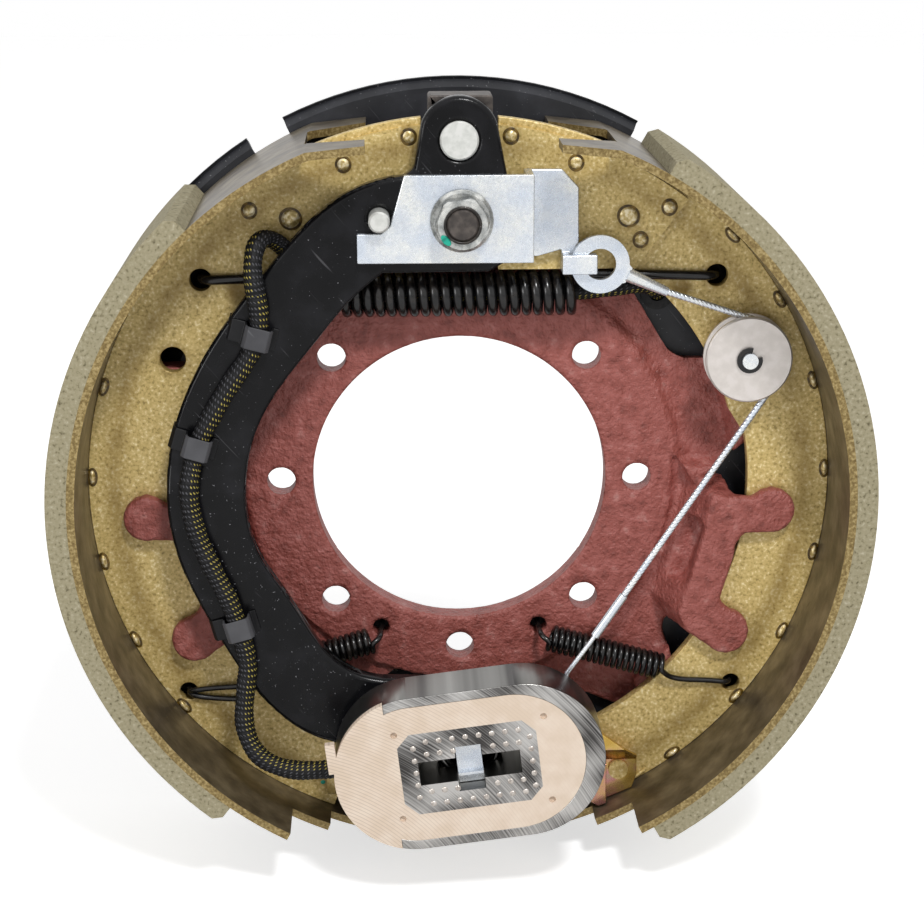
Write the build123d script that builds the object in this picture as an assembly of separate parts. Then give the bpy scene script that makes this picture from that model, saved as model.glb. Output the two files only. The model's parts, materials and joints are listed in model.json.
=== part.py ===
from build123d import *
import math
import os

# Electric drum brake for a trailer axle, seen from the open side.
# Origin: centre of the pilot bore, on the face that bolts to the axle flange.
# +Z is up, +X is towards the rear shoe, and -Y is the open side that faces the drum.
# All sizes are in millimetres.

# The cast spider and its bolt circle
PILOT_RADIUS = 57.5
FLANGE_THICKNESS = 9.5
FLANGE_RADIUS = 84.0
BOLT_CIRCLE_RADIUS = 69.85
BOLT_HOLE_RADIUS = 5.6
BOLT_PITCH = 45.0
PAD_THICKNESS = 14.4
WING_RECESS = 2.0
WING_STEP = 2.6
ANCHOR_HEIGHT = 107.7
ANCHOR_BOSS_RADIUS = 26.0
SPRING_HOLE_X = 31.5
SPRING_HOLE_Z = -61.5
SPRING_HOLE_RADIUS = 3.4

# The shoes: web, rolled table and lining. Angles are in degrees from +X on the rear shoe
SHOE_WIDTH = 85.7
WEB_THICKNESS = 5.0
WEB_GAP = 0.6
WEB_INNER_RADIUS = 112.0
WEB_UPPER_RADIUS = 108.0
WEB_SHOULDER_HEIGHT = 86.0
WEB_END_X = 14.3
TABLE_INNER_RADIUS = 143.5
TABLE_THICKNESS = 3.0
LINING_THICKNESS = 7.8
LINING_CHAMFER = 3.0
DOUBLER_THICKNESS = 3.0
DOUBLER_RADIUS = 140.8
WEB_LOWER_ANGLE = -69.0
TABLE_BEND_ANGLE = 67.5
TABLE_TIP_X = 35.0
TABLE_STEP_ANGLE = -62.0
TABLE_SECOND_STEP_ANGLE = -68.5
TABLE_END_ANGLE = -76.0
RETURN_HOLE_X = 97.6
RETURN_HOLE_Z = 82.5
RETURN_HOLE_RADIUS = 4.2
LOWER_HOLE_X = 108.2
LOWER_HOLE_Z = -83.4
LOWER_HOLE_RADIUS = 3.6
SPARE_HOLE_RADIUS = 4.9

# Arc of each lining, from its upper end to its lower end, in degrees from +X
FRONT_LINING_ARC = (132.5, 232.0)
REAR_LINING_ARC = (60.0, -60.0)

# The anchor pin, the arm that pivots on it and the cam on the arm
ANCHOR_COLLAR_RADIUS = 16.0
JOURNAL_RADIUS = 10.0
SHOULDER_RADIUS = 7.4
STUD_RADIUS = 5.9
NUT_HEIGHT = 10.0
NUT_FLANGE_RADIUS = 11.55
NUT_ACROSS_FLATS = 18.0
ARM_THICKNESS = 7.9
ARM_STEP = 3.0
ARM_GAP = 7.0
CAM_RISE = 28.6
CAM_HALF_WIDTH = 11.85
CAM_PIN_RADIUS = 7.1
CAM_X = -0.7
CAM_CLEARANCE = 0.5
STOP_PIN_X = -30.2
STOP_PIN_RISE = 0.4
STOP_PIN_RADIUS = 3.9
STOP_PIN_LENGTH = 9.0
STEP_TOP = 15.0
STEP_FOOT = 5.0
ARM_END_RADIUS = 24.0
BUSH_WALL = 1.5
RUNNING_GAP = 0.05
SEAT_GAP = 0.3

# The magnet
MAGNET_X = 1.7
MAGNET_Z = -96.8
MAGNET_LENGTH = 103.5
MAGNET_HEIGHT = 62.3
MAGNET_DEPTH = 22.0
MAGNET_TRAVEL = 5.0
MAGNET_TILT = 7.0
MAGNET_RIM = 3.8
MAGNET_END_RIM = 7.6
POLE_LENGTH = 53.0
POLE_HEIGHT = 33.0
SLOT_LENGTH = 39.0
SLOT_HEIGHT = 9.5
CASE_FLOOR = 1.5
FACING_DEPTH = 3.0
POST_WIDTH = 9.4
POST_RIVET_RADIUS = 4.0
CLIP_WIDTH = 9.7
CLIP_HEIGHT = 17.6
CLIP_SINK = 8.5
SPRING_POCKET_RADIUS = 13.0
SPRING_POCKET_DEPTH = 8.0
FOLLOWER_RADIUS = 11.0
FOLLOWER_WIRE = 0.9
LEAD_ENTRY = -0.5

# The plate on the anchor pin that works the adjuster's cable
BRACKET_SHEET = 3.0
TAB_FRONT = -27.5
HOOK_FRONT = -34.6
EYE_X = 52.0
EYE_DROP = 18.6
EYE_FRONT = -31.2
EYE_SHEET = 2.8
EYE_RADIUS = 10.95
EYE_BORE = 5.9

# The dust shield
SHIELD_RADIUS = 152.8
SHIELD_RIM_Y = 27.0
SHIELD_SHEET = 1.5
SHIELD_BORE_RADIUS = 86.0
SHIELD_SLOT_X = (-22.0, 22.0)
SHIELD_SLOT_INSET = 15.3
SHIELD_CONE_WIDTH = 13.0
SHIELD_BAND = 21.8
SHIELD_SLOT_LENGTH = 26.0
SHIELD_SLOT_HEIGHT = 9.0
SHIELD_SCREWS = ((74.0, -78.0), (-74.0, -78.0), (104.0, 37.0), (-104.0, 37.0))
SHIELD_SCREW_RADIUS = 2.5
SHIELD_SCREW_LENGTH = 6.0
GROMMET_X = 77.0
GROMMET_Z = 72.5
GROMMET_NECK_RADIUS = 4.9
GROMMET_LIP = 1.6

# The adjuster below the shoes
ADJUSTER_Z = -121.0
ADJUSTER_END_X = 47.0
STAR_LEFT = -6.0
STAR_RIGHT = 0.0
WASHER_RIGHT = 1.6
STAR_RADIUS = 12.0
STAR_TEETH = 20
TUBE_RADIUS = 8.5
SCREW_RADIUS = 5.8

# The adjuster's cable, its pulley and the lever on the rear shoe
CABLE_RADIUS = 1.3
CABLE_Y = -26.5
CABLE_START_Y = -27.0
BARREL_REACH = 25.8
BARREL_DROP = 11.5
FERRULE_TOP = (63.4, -29.4, -42.4)
FERRULE_RADIUS = 1.7
FERRULE_LENGTH = 19.9
CABLE_WRAP_RADIUS = 14.6
PULLEY_X = 109.2
PULLEY_Z = 51.8
PULLEY_RADIUS = 16.5
PULLEY_WIDTH = 8.7
PULLEY_FRONT = -31.0
PULLEY_PIN_RADIUS = 3.0
LEVER_PIVOT_X = 62.8
LEVER_PIVOT_Z = -117.5
LEVER_SHEET = 2.3
LEVER_PIN_RADIUS = 4.5
LEVER_LOWER_FRONT = -25.5
LEVER_UPPER_FRONT = -30.0
LEVER_WIRE = 0.7
PAWL_TIP_X = -4.0
HOOK_HOLE_X = 40.4
HOOK_HOLE_Z = -82.0
HOOK_WIRE_RADIUS = 0.9

# The coil springs: outer radius, wire radius, turns and places
RETURN_RADIUS = 8.8
RETURN_WIRE = 1.45
RETURN_TURNS = 21
RETURN_PITCH = 4.25
RETURN_Y = -18.7
RETURN_DROP = 31.4
LOWER_RADIUS = 5.3
LOWER_WIRE = 1.0
LOWER_TURNS = 16
LOWER_COIL_START = (35.6, -15.6, -64.8)
LOWER_COIL_END = (79.8, -20.5, -76.0)

# The sleeved leads of the magnet, with the points of their route
LEAD_RADIUS = 3.8
LOOP_RADIUS = 3.2
TAIL_RADIUS = 1.3
CLIP_LENGTH = 7.0
CLIP_SHEET = 1.1

# Planes along Y worked out from the sizes above
FLANGE_FRONT = -FLANGE_THICKNESS
WING_REAR = -WING_RECESS
WING_FRONT = FLANGE_FRONT + WING_STEP
SHIELD_REAR = WING_REAR + SHIELD_SHEET
PAD_FRONT = -PAD_THICKNESS
WEB_REAR = PAD_FRONT - WEB_GAP
WEB_FRONT = WEB_REAR - WEB_THICKNESS
WEB_MIDDLE = (WEB_REAR + WEB_FRONT) / 2
DOUBLER_FRONT = WEB_FRONT - DOUBLER_THICKNESS
SHOE_FRONT = WEB_MIDDLE - SHOE_WIDTH / 2
SHOE_REAR = WEB_MIDDLE + SHOE_WIDTH / 2
TABLE_OUTER_RADIUS = TABLE_INNER_RADIUS + TABLE_THICKNESS
LINING_OUTER_RADIUS = TABLE_OUTER_RADIUS + LINING_THICKNESS
ARM_REAR = DOUBLER_FRONT - ARM_GAP
ARM_FRONT = ARM_REAR - ARM_THICKNESS
LOW_ARM_FRONT = ARM_FRONT - ARM_STEP
MAGNET_REAR = LOW_ARM_FRONT - MAGNET_TRAVEL - SEAT_GAP
MAGNET_FACE = MAGNET_REAR - MAGNET_DEPTH
CLIP_REAR = MAGNET_FACE + CLIP_SINK
FINGER_REAR = WEB_FRONT - WEB_GAP
FINGER_FRONT = FINGER_REAR - 4.9
BRACKET_FRONT = ARM_FRONT - SEAT_GAP - BRACKET_SHEET
NUT_SEAT = BRACKET_FRONT - 0.2
BUSH_RADIUS = JOURNAL_RADIUS + RUNNING_GAP + BUSH_WALL
PAWL_REAR = WEB_MIDDLE - STAR_RADIUS - 0.5
EYE_Z = ANCHOR_HEIGHT - EYE_DROP
CABLE_START = (EYE_X + BARREL_REACH, CABLE_START_Y, EYE_Z - BARREL_DROP)
RETURN_Z = ANCHOR_HEIGHT - RETURN_DROP
SHIELD_SLOT_Z = SHIELD_SLOT_INSET - SHIELD_RADIUS
MAGNET_LEFT = MAGNET_X - MAGNET_LENGTH / 2
LEAD_Y = ARM_FRONT - LEAD_RADIUS - 0.1
LOW_LEAD_Y = LOW_ARM_FRONT - LEAD_RADIUS - 0.1
LOOP_Y = ARM_REAR + LOOP_RADIUS + 0.25

LEAD_ARM_POINTS = ((-75.6, LEAD_Y, 81.0), (-73.9, LEAD_Y, 71.0), (-77.7, LEAD_Y, 58.9),
                   (-88.5, LEAD_Y, 43.8), (-98.0, LEAD_Y, 27.4), (-100.9, LEAD_Y, 18.0),
                   (-102.9, LOW_LEAD_Y, 8.0), (-102.3, LOW_LEAD_Y, -1.5), (-99.9, LOW_LEAD_Y, -11.5),
                   (-94.0, LOW_LEAD_Y, -25.7), (-87.7, LOW_LEAD_Y, -39.9), (-84.8, LOW_LEAD_Y, -51.0))
LEAD_LOOP_POINTS = ((-75.6, LEAD_Y, 81.0), (-77.3, LEAD_Y, 91.0), (-75.0, -35.0, 101.0),
                    (-68.0, LOOP_Y, 98.5), (-60.5, LOOP_Y, 88.5), (-54.0, LOOP_Y + 0.4, RETURN_Z + 1.2),
                    (-44.5, -20.0, RETURN_Z - 0.3), (-31.0, -18.6, RETURN_Z + 0.1),
                    (-5.0, -18.8, RETURN_Z - 0.2), (21.0, -18.5, RETURN_Z + 0.2),
                    (44.0, -18.8, RETURN_Z), (57.0, -18.4, RETURN_Z + 0.9),
                    (69.0, -15.4, RETURN_Z + 1.9), (76.0, -10.0, 75.6),
                    (GROMMET_X, -4.6, GROMMET_Z), (GROMMET_X, 4.5, GROMMET_Z))
MAGNET_LEAD_POINTS = ((-84.8, LOW_LEAD_Y, -51.0), (-82.19, LOW_LEAD_Y, -60.99),
                      (-84.2, LOW_LEAD_Y - 0.6, -74.0), (-85.0, LOW_LEAD_Y - 2.0, -88.0),
                      (MAGNET_LEFT - 29.95, LOW_LEAD_Y - 4.4, -99.5),
                      (MAGNET_LEFT - 18.95, LOW_LEAD_Y - 6.4, -104.2),
                      (MAGNET_LEFT - 5.95, LOW_LEAD_Y - 7.4, -104.0),
                      (MAGNET_LEFT + 3.55, LOW_LEAD_Y - 7.5, -102.9))
UPPER_TAIL_POINTS = ((GROMMET_X, 4.5, 74.0), (77.0, 12.5, 74.0), (78.8, 20.5, 70.0), (82.5, 25.8, 61.0),
                     (86.2, 27.6, 49.0), (89.2, 27.8, 36.0), (91.2, 27.0, 22.0), (92.0, 25.8, 7.0),
                     (92.4, 25.0, -9.0), (91.5, 25.1, -25.0), (89.8, 25.6, -41.0), (88.4, 26.6, -57.0),
                     (88.2, 27.8, -72.0), (88.9, 28.6, -86.0))
LOWER_TAIL_POINTS = ((GROMMET_X, 4.5, 71.0), (77.0, 11.0, 71.0), (76.2, 18.5, 67.2), (77.2, 24.0, 58.5),
                     (80.2, 26.2, 47.5), (84.0, 26.6, 35.0), (86.8, 26.0, 21.0), (88.0, 25.0, 6.0),
                     (88.5, 24.2, -10.0), (87.4, 24.0, -26.0), (85.4, 24.6, -42.0), (83.9, 26.0, -56.5),
                     (84.1, 27.5, -69.5), (85.4, 28.4, -80.0))
CLIP_PLACES = ((-75.6, LEAD_Y, 65.0, -105.0), (-99.2, LEAD_Y, 23.4, -107.1),
               (-85.6, LOW_LEAD_Y, -47.5, -75.0))

os.makedirs("parts", exist_ok=True)


def slab(sketch, rear, front):
    """Extrude a sketch drawn in X and Z from its rear plane to its front plane."""
    return extrude(Plane.XZ.offset(-rear) * sketch, rear - front)


def disc(x, z, radius):
    return Pos(x, z) * Circle(radius)


def rod(x, z, radius, rear, front):
    return slab(disc(x, z, radius), rear, front)


def outline(*points):
    return make_face(Polyline(*points, close=True))


def sector(inner, outer, start, end):
    """A flat ring segment between two angles, in degrees from +X."""
    outer_arc = CenterArc((0, 0), outer, start, end - start)
    inner_arc = CenterArc((0, 0), inner, start, end - start)
    first = Line(inner_arc @ 0, outer_arc @ 0)
    last = Line(inner_arc @ 1, outer_arc @ 1)
    return make_face([outer_arc, inner_arc, first, last])


def polar(radius, angle):
    turn = math.radians(angle)
    return (radius * math.cos(turn), radius * math.sin(turn))


def upright_edges(solid):
    return solid.edges().filter_by(Axis.Y)


def wire_rod(path, radius):
    """A round wire along straight runs joined by tangent arcs."""
    start = Plane(origin=path @ 0, z_dir=path % 0)
    return sweep(start * Circle(radius), path=path)


def mirrored(shape, side):
    """The same shape on the left for side -1, and as drawn for side 1."""
    return shape if side > 0 else mirror(shape, about=Plane.YZ)


def save(shape, name):
    shape.label = name
    export_step(shape, f"parts/{name}.step")


def spider():
    """Iron casting: flange, anchor boss, shoe rest pads and the fingers that hold the webs."""
    body = Circle(FLANGE_RADIUS)
    plate = slab(body, 0, FLANGE_FRONT)
    wing = outline((40, 84), (67, 74), (76, 59), (81.5, 50), (87, 47.2), (118, 47.2), (124, 26),
                   (112.5, 15.8), (100, 3.8), (100, -56), (82.3, -60), (82.3, -66), (86, -78),
                   (100, -84), (92, -98), (62, -97), (50, -91.8), (30, -84), (0, -60), (0, 60))
    wings = wing + mirror(wing, about=Plane.YZ)
    plate += slab(wings, WING_REAR, WING_FRONT)
    neck = outline((-67, 74), (-ANCHOR_BOSS_RADIUS, ANCHOR_HEIGHT), (ANCHOR_BOSS_RADIUS, ANCHOR_HEIGHT),
                   (67, 74), (60, 64), (40, 60), (-40, 60), (-60, 64))
    plate += slab(neck, WING_REAR, FLANGE_FRONT)
    relief = Pos(0, RETURN_Z + RETURN_RADIUS + 1.4 - 50) * Rectangle(200, 100)
    plate += slab(disc(0, ANCHOR_HEIGHT, ANCHOR_BOSS_RADIUS) - relief, WING_REAR, PAD_FRONT)
    raised = outline((54, 60.4), (67, 74), (76, 59), (81.5, 50), (87, 47.2), (118, 47.2), (124, 26),
                     (112.5, 15.8), (100, 3.8), (91, -1), (88, 5), (82.4, 12.2), (70, 35))
    low_pad = outline((84, -70), (86, -78), (100, -84), (92, -98), (72, -97), (70, -84))
    for side in (1, -1):
        plate += slab(mirrored(raised, side), WING_FRONT, PAD_FRONT)
        plate += slab(mirrored(low_pad, side), WING_FRONT, PAD_FRONT)
        plate += mirrored(finger_block(), side)
    plate -= rod(0, 0, PILOT_RADIUS, 1, FLANGE_FRONT - 10)
    for index in range(7):
        x, z = polar(BOLT_CIRCLE_RADIUS, 135 + BOLT_PITCH * index)
        plate -= rod(x, z, BOLT_HOLE_RADIUS, 1, FLANGE_FRONT - 10)
    for side in (1, -1):
        plate -= rod(side * SPRING_HOLE_X, SPRING_HOLE_Z, SPRING_HOLE_RADIUS, 1, FLANGE_FRONT - 10)
    for x, z in SHIELD_SCREWS:
        plate -= rod(x, z, SHIELD_SCREW_RADIUS, 1, -SHIELD_SCREW_LENGTH)
    plate -= rod(0, ANCHOR_HEIGHT, JOURNAL_RADIUS + 2, 1, PAD_FRONT - 1)
    return plate


def finger_block():
    """Wall that rises past the web's inner edge, with two round fingers over the web."""
    inner_edge = WEB_INNER_RADIUS - 1.5
    crest = outline((98.4, -3.6), (107, -4.8), (107, -29), (103, -43), (101, -50), (89, -59.5),
                    (86.3, -52.3))
    foot = outline((90, 2), (104, 0.5), (104, -29), (100, -44), (98, -50), (82.3, -59), (76, -48))
    wall = loft([Plane.XZ.offset(-WING_FRONT) * foot, Plane.XZ.offset(-FINGER_FRONT) * crest])
    wall = wall & rod(0, 0, inner_edge, WING_FRONT, FINGER_FRONT)
    pocket = Pos(88.5, -27) * Rot(0, 0, 72) * SlotOverall(27, 10)
    wall -= slab(pocket, PAD_FRONT + 2, FINGER_FRONT - 1)
    hand = crest + outline((100, -4.2), (116, -4.6), (121.3, -1.2), (123, -18.8), (110.6, -19.2),
                           (107.3, -24), (104.8, -34), (100.8, -43), (103.2, -48.6), (111.4, -54.8),
                           (98, -66), (89, -59.5))
    hand += disc(121.3, -10.2, 9.1)
    hand += disc(104.8, -60.0, 9.1)
    fingers = slab(hand, FINGER_REAR, FINGER_FRONT)
    fingers = chamfer(fingers.faces().sort_by(Axis.Y)[0].edges(), 0.8)
    return wall + fingers


def dust_shield():
    """Pressed sheet dish with a rolled rim, notched where the photograph shows gaps."""
    sheet = SHIELD_SHEET
    rim = SHIELD_RADIUS
    flat = SHIELD_RIM_Y
    band = rim - SHIELD_BAND
    foot = band - SHIELD_CONE_WIDTH
    profile = outline((SHIELD_BORE_RADIUS, WING_REAR), (foot, WING_REAR), (band, flat), (rim - 4, flat),
                      (rim - 1.2, flat + 3.2), (rim, flat + 2.4), (rim, flat + 5), (rim - 2, flat + 5.2),
                      (rim - 5, flat + sheet), (band - 1, flat + sheet), (foot - 1, SHIELD_REAR),
                      (SHIELD_BORE_RADIUS, SHIELD_REAR))
    dish = revolve(Plane.XY * profile, Axis.Y)
    for start, end in ((116.3, 122.5), (54.5, 61.8)):
        notch = sector(rim - 13.8, rim + 5, start, end)
        dish -= slab(notch, flat + 10, flat - 2)
    for x in SHIELD_SLOT_X:
        slot = Pos(x, SHIELD_SLOT_Z) * SlotOverall(SHIELD_SLOT_LENGTH, SHIELD_SLOT_HEIGHT)
        dish -= slab(slot, flat + 10, flat - 10)
    dish -= rod(GROMMET_X, GROMMET_Z, GROMMET_NECK_RADIUS, 10, -5)
    for x, z in SHIELD_SCREWS:
        dish -= rod(x, z, SHIELD_SCREW_RADIUS + 0.2, 10, -5)
    return dish


def shield_screws():
    """Drive screws that hold the shield to the casting, heads on the rear side."""
    group = []
    for x, z in SHIELD_SCREWS:
        screw = rod(x, z, SHIELD_SCREW_RADIUS, SHIELD_REAR, -SHIELD_SCREW_LENGTH)
        screw += rod(x, z, 2 * SHIELD_SCREW_RADIUS, SHIELD_REAR + 2.2, SHIELD_REAR)
        group.append(screw)
    return Compound(children=group)


def slot_plugs():
    """Rubber plugs in the two adjusting slots of the shield."""
    group = []
    for x in SHIELD_SLOT_X:
        place = Pos(x, SHIELD_SLOT_Z)
        neck = place * SlotOverall(SHIELD_SLOT_LENGTH, SHIELD_SLOT_HEIGHT)
        lip = place * SlotOverall(SHIELD_SLOT_LENGTH + 5, SHIELD_SLOT_HEIGHT + 5)
        plug = slab(neck, SHIELD_RIM_Y + SHIELD_SHEET, SHIELD_RIM_Y)
        plug += slab(lip, SHIELD_RIM_Y + SHIELD_SHEET + 2.5, SHIELD_RIM_Y + SHIELD_SHEET)
        plug += slab(lip, SHIELD_RIM_Y, SHIELD_RIM_Y - 1.2)
        group.append(plug)
    return Compound(children=group)


def lead_grommet():
    """Rubber grommet where the leads pass through the shield."""
    x, z = GROMMET_X, GROMMET_Z
    body = rod(x, z, GROMMET_NECK_RADIUS, SHIELD_REAR, WING_REAR)
    body += rod(x, z, GROMMET_NECK_RADIUS + GROMMET_LIP, SHIELD_REAR + 3, SHIELD_REAR)
    body += rod(x, z, GROMMET_NECK_RADIUS + GROMMET_LIP, WING_REAR, WING_REAR - 2)
    return body - rod(x, z, LOOP_RADIUS, 6, -6)


def anchor_pin():
    """Stepped steel pin: pressed shank, collar for the webs, journal, shoulder and thread."""
    z = ANCHOR_HEIGHT
    pin = rod(0, z, JOURNAL_RADIUS + 2, WING_REAR, PAD_FRONT)
    pin += rod(0, z, ANCHOR_COLLAR_RADIUS, PAD_FRONT, ARM_REAR + SEAT_GAP)
    pin += rod(0, z, JOURNAL_RADIUS, ARM_REAR + SEAT_GAP, ARM_FRONT + SEAT_GAP)
    pin += rod(0, z, SHOULDER_RADIUS, ARM_FRONT + SEAT_GAP, NUT_SEAT)
    pin += rod(0, z, STUD_RADIUS, NUT_SEAT, NUT_SEAT - NUT_HEIGHT - 1.2)
    return chamfer(pin.faces().sort_by(Axis.Y)[0].edges(), 0.8)


def pivot_nut():
    """Flange nut on the anchor pin's thread."""
    z = ANCHOR_HEIGHT
    flange = rod(0, z, NUT_FLANGE_RADIUS, NUT_SEAT, NUT_SEAT - 2.4)
    flange = chamfer(flange.faces().sort_by(Axis.Y)[0].edges(), 1.2)
    hexagon = Pos(0, z) * Rot(0, 0, 8) * RegularPolygon(NUT_ACROSS_FLATS / 2, 6, major_radius=False)
    head = slab(hexagon, NUT_SEAT - 2.4, NUT_SEAT - NUT_HEIGHT)
    barrel = rod(0, z, NUT_ACROSS_FLATS / 2 + 0.9, NUT_SEAT, NUT_SEAT - NUT_HEIGHT)
    head = head & chamfer(barrel.edges(), 0.9)
    return flange + head - rod(0, z, STUD_RADIUS, 0, NUT_SEAT - NUT_HEIGHT - 5)


def web_profile():
    """Web of the rear shoe; the front shoe's is its mirror image."""
    top = math.degrees(math.asin(1)) - math.degrees(math.asin(WEB_END_X / TABLE_INNER_RADIUS))
    outer = CenterArc((0, 0), TABLE_INNER_RADIUS, WEB_LOWER_ANGLE, top - WEB_LOWER_ANGLE)
    lower = CenterArc((0, 0), WEB_INNER_RADIUS, WEB_LOWER_ANGLE, 10 - WEB_LOWER_ANGLE)
    shoulder_turn = math.degrees(math.asin(WEB_SHOULDER_HEIGHT / WEB_UPPER_RADIUS))
    upper = CenterArc((0, 0), WEB_UPPER_RADIUS, 16, shoulder_turn - 16)
    toe_x = CAM_HALF_WIDTH + CAM_CLEARANCE
    cam_z = ANCHOR_HEIGHT + CAM_RISE
    ends = Polyline(outer @ 1, (WEB_END_X, cam_z + 2), (toe_x, cam_z - 1.5), (toe_x, cam_z - 10),
                    (WEB_END_X, cam_z - 13), (WEB_END_X, WEB_SHOULDER_HEIGHT), upper @ 1)
    body = make_face([outer, lower, upper, ends, Line(lower @ 1, upper @ 0), Line(outer @ 0, lower @ 0)])
    body -= disc(0, ANCHOR_HEIGHT, ANCHOR_COLLAR_RADIUS + SEAT_GAP)
    seat = Pos(ADJUSTER_END_X - 20, ADJUSTER_Z) * Rectangle(40, 19)
    return body - seat


def shoe_web(side):
    profile = web_profile()
    for x, z, radius in ((RETURN_HOLE_X, RETURN_HOLE_Z, RETURN_HOLE_RADIUS),
                         (LOWER_HOLE_X, LOWER_HOLE_Z, LOWER_HOLE_RADIUS),
                         (PULLEY_X, PULLEY_Z, SPARE_HOLE_RADIUS)):
        profile -= disc(x, z, radius)
    if side > 0:
        profile -= disc(LEVER_PIVOT_X, LEVER_PIVOT_Z, LEVER_PIN_RADIUS)
    return slab(mirrored(profile, side), WEB_REAR, WEB_FRONT)


def web_doubler(side):
    """Second plate welded to the front of the web around its upper end."""
    profile = web_profile() & Circle(DOUBLER_RADIUS)
    corner = outline((10, 70), (56, 72), (67.7, 88), (86, 112.5), (86.5, 125), (10, 150))
    return slab(mirrored(profile & corner, side), WEB_FRONT, DOUBLER_FRONT)


def shoe_table(side):
    """Rolled strip on the web, with stepped lower ends and a split, flattened upper end."""
    inner = TABLE_INNER_RADIUS
    outer = TABLE_OUTER_RADIUS
    rear = SHOE_REAR
    front = SHOE_FRONT
    tip_z = inner * math.sin(math.radians(TABLE_BEND_ANGLE)) + 2.0
    strip = sector(inner, outer, TABLE_END_ANGLE, TABLE_BEND_ANGLE)
    tongue = outline(polar(inner, TABLE_BEND_ANGLE), polar(outer, TABLE_BEND_ANGLE),
                     (TABLE_TIP_X, tip_z + TABLE_THICKNESS), (TABLE_TIP_X, tip_z))
    table = slab(strip + tongue, rear, front)
    notch = Polyline((57, WEB_MIDDLE - 17), (57, WEB_MIDDLE + 17), (TABLE_TIP_X - 2, WEB_MIDDLE + 26),
                     (TABLE_TIP_X - 2, WEB_MIDDLE - 26), close=True)
    table -= Pos(0, 0, 100) * extrude(make_face(notch), 60)
    for angle, half_width in ((TABLE_STEP_ANGLE, 20.5), (TABLE_SECOND_STEP_ANGLE, 9.0)):
        ring = sector(inner - 5, outer + 5, TABLE_END_ANGLE - 3, angle)
        table -= slab(ring, rear + 1, WEB_MIDDLE + half_width)
        table -= slab(ring, WEB_MIDDLE - half_width, front - 1)
    return mirrored(table, side)


def lining(arc):
    """Bonded lining with bevelled ends."""
    start, end = arc
    block = slab(sector(TABLE_OUTER_RADIUS, LINING_OUTER_RADIUS, start, end), SHOE_REAR, SHOE_FRONT)
    ends = [edge for edge in upright_edges(block)
            if math.hypot(edge.center().X, edge.center().Z) > TABLE_OUTER_RADIUS + 1]
    return chamfer(ends, LINING_CHAMFER)


def arm_profile():
    """Outline of the arm's plate: cam lobe, pivot, long bow and magnet end."""
    z = ANCHOR_HEIGHT
    outer = Spline((-21, z + 15.8), (-45.7, z + 7.3), (-70, z - 16.4), (-95, 58), (-109.3, 24.4),
                   (-108.5, -19.7), (-96.3, -48.6), (-79.1, -77), (-65.5, -90.6), (-50.9, -97.7))
    inner = Spline((-29, z - 20.1), (-39.8, z - 29.0), (-56.8, 58.8), (-75, 33.3), (-82, 3), (-77.5, -20.2),
                   (-66.5, -38.1), (-49.1, -63.8), (-31, -71.6))
    end_top = (MAGNET_X - 4, MAGNET_Z + ARM_END_RADIUS)
    end_low = (MAGNET_X - 8, MAGNET_Z - ARM_END_RADIUS + 2)
    tip = ThreePointArc(end_low, (MAGNET_X + ARM_END_RADIUS, MAGNET_Z), end_top)
    lobe_z = z + CAM_RISE
    lobe = ThreePointArc((-14.6, lobe_z + 6), (-0.7, lobe_z + 16), (13.2, lobe_z + 6))
    lines = [outer, inner, tip, lobe,
             Line(outer @ 1, end_low), Line(end_top, inner @ 1),
             Polyline(lobe @ 1, (16.8, z + 16), (19.5, z), (17, z - 16), (10, z - 19.9), inner @ 0),
             Polyline(lobe @ 0, (-17.4, z + 18.3), outer @ 0)]
    return make_face(lines)


def magnet_arm():
    """Thick steel plate, stepped forward below its middle."""
    plate = slab(arm_profile(), 0, -100)
    ribbon = Polyline((ARM_FRONT, 160), (ARM_FRONT, STEP_TOP), (LOW_ARM_FRONT, STEP_FOOT),
                      (LOW_ARM_FRONT, -130), (LOW_ARM_FRONT + ARM_THICKNESS, -130),
                      (LOW_ARM_FRONT + ARM_THICKNESS, STEP_FOOT), (ARM_REAR, STEP_TOP), (ARM_REAR, 160),
                      close=True)
    bent = Pos(-130, 0, 0) * extrude(Plane.YZ * make_face(ribbon), 200)
    arm = plate & bent
    arm -= rod(0, ANCHOR_HEIGHT, BUSH_RADIUS, 0, -100)
    arm -= rod(CAM_X, ANCHOR_HEIGHT + CAM_RISE, CAM_PIN_RADIUS, 0, -100)
    arm -= rod(STOP_PIN_X, ANCHOR_HEIGHT + STOP_PIN_RISE, STOP_PIN_RADIUS, 0, -100)
    arm -= rod(MAGNET_X, MAGNET_Z, POST_RIVET_RADIUS, 0, -100)
    return arm


def pivot_bush():
    ring = Circle(BUSH_RADIUS) - Circle(JOURNAL_RADIUS + RUNNING_GAP)
    return slab(Pos(0, ANCHOR_HEIGHT) * ring, ARM_REAR, ARM_FRONT)


def cam_block():
    """Block behind the arm's lobe that spreads the shoe ends."""
    z = ANCHOR_HEIGHT + CAM_RISE
    block = Pos(0, z + 2.7) * RectangleRounded(2 * CAM_HALF_WIDTH, 25.5, 1.2)
    return slab(block, PAD_FRONT - 0.5, ARM_REAR) - rod(CAM_X, z, CAM_PIN_RADIUS, 0, -60)


def cam_pin():
    z = ANCHOR_HEIGHT + CAM_RISE
    pin = rod(CAM_X, z, CAM_PIN_RADIUS, PAD_FRONT - 0.5, ARM_FRONT - 0.9)
    return chamfer(pin.faces().sort_by(Axis.Y)[0].edges(), 0.6)


def stop_pin():
    z = ANCHOR_HEIGHT + STOP_PIN_RISE
    pin = rod(STOP_PIN_X, z, STOP_PIN_RADIUS, ARM_REAR, ARM_FRONT - STOP_PIN_LENGTH)
    return chamfer(pin.faces().sort_by(Axis.Y)[0].edges(), 0.7)


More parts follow.
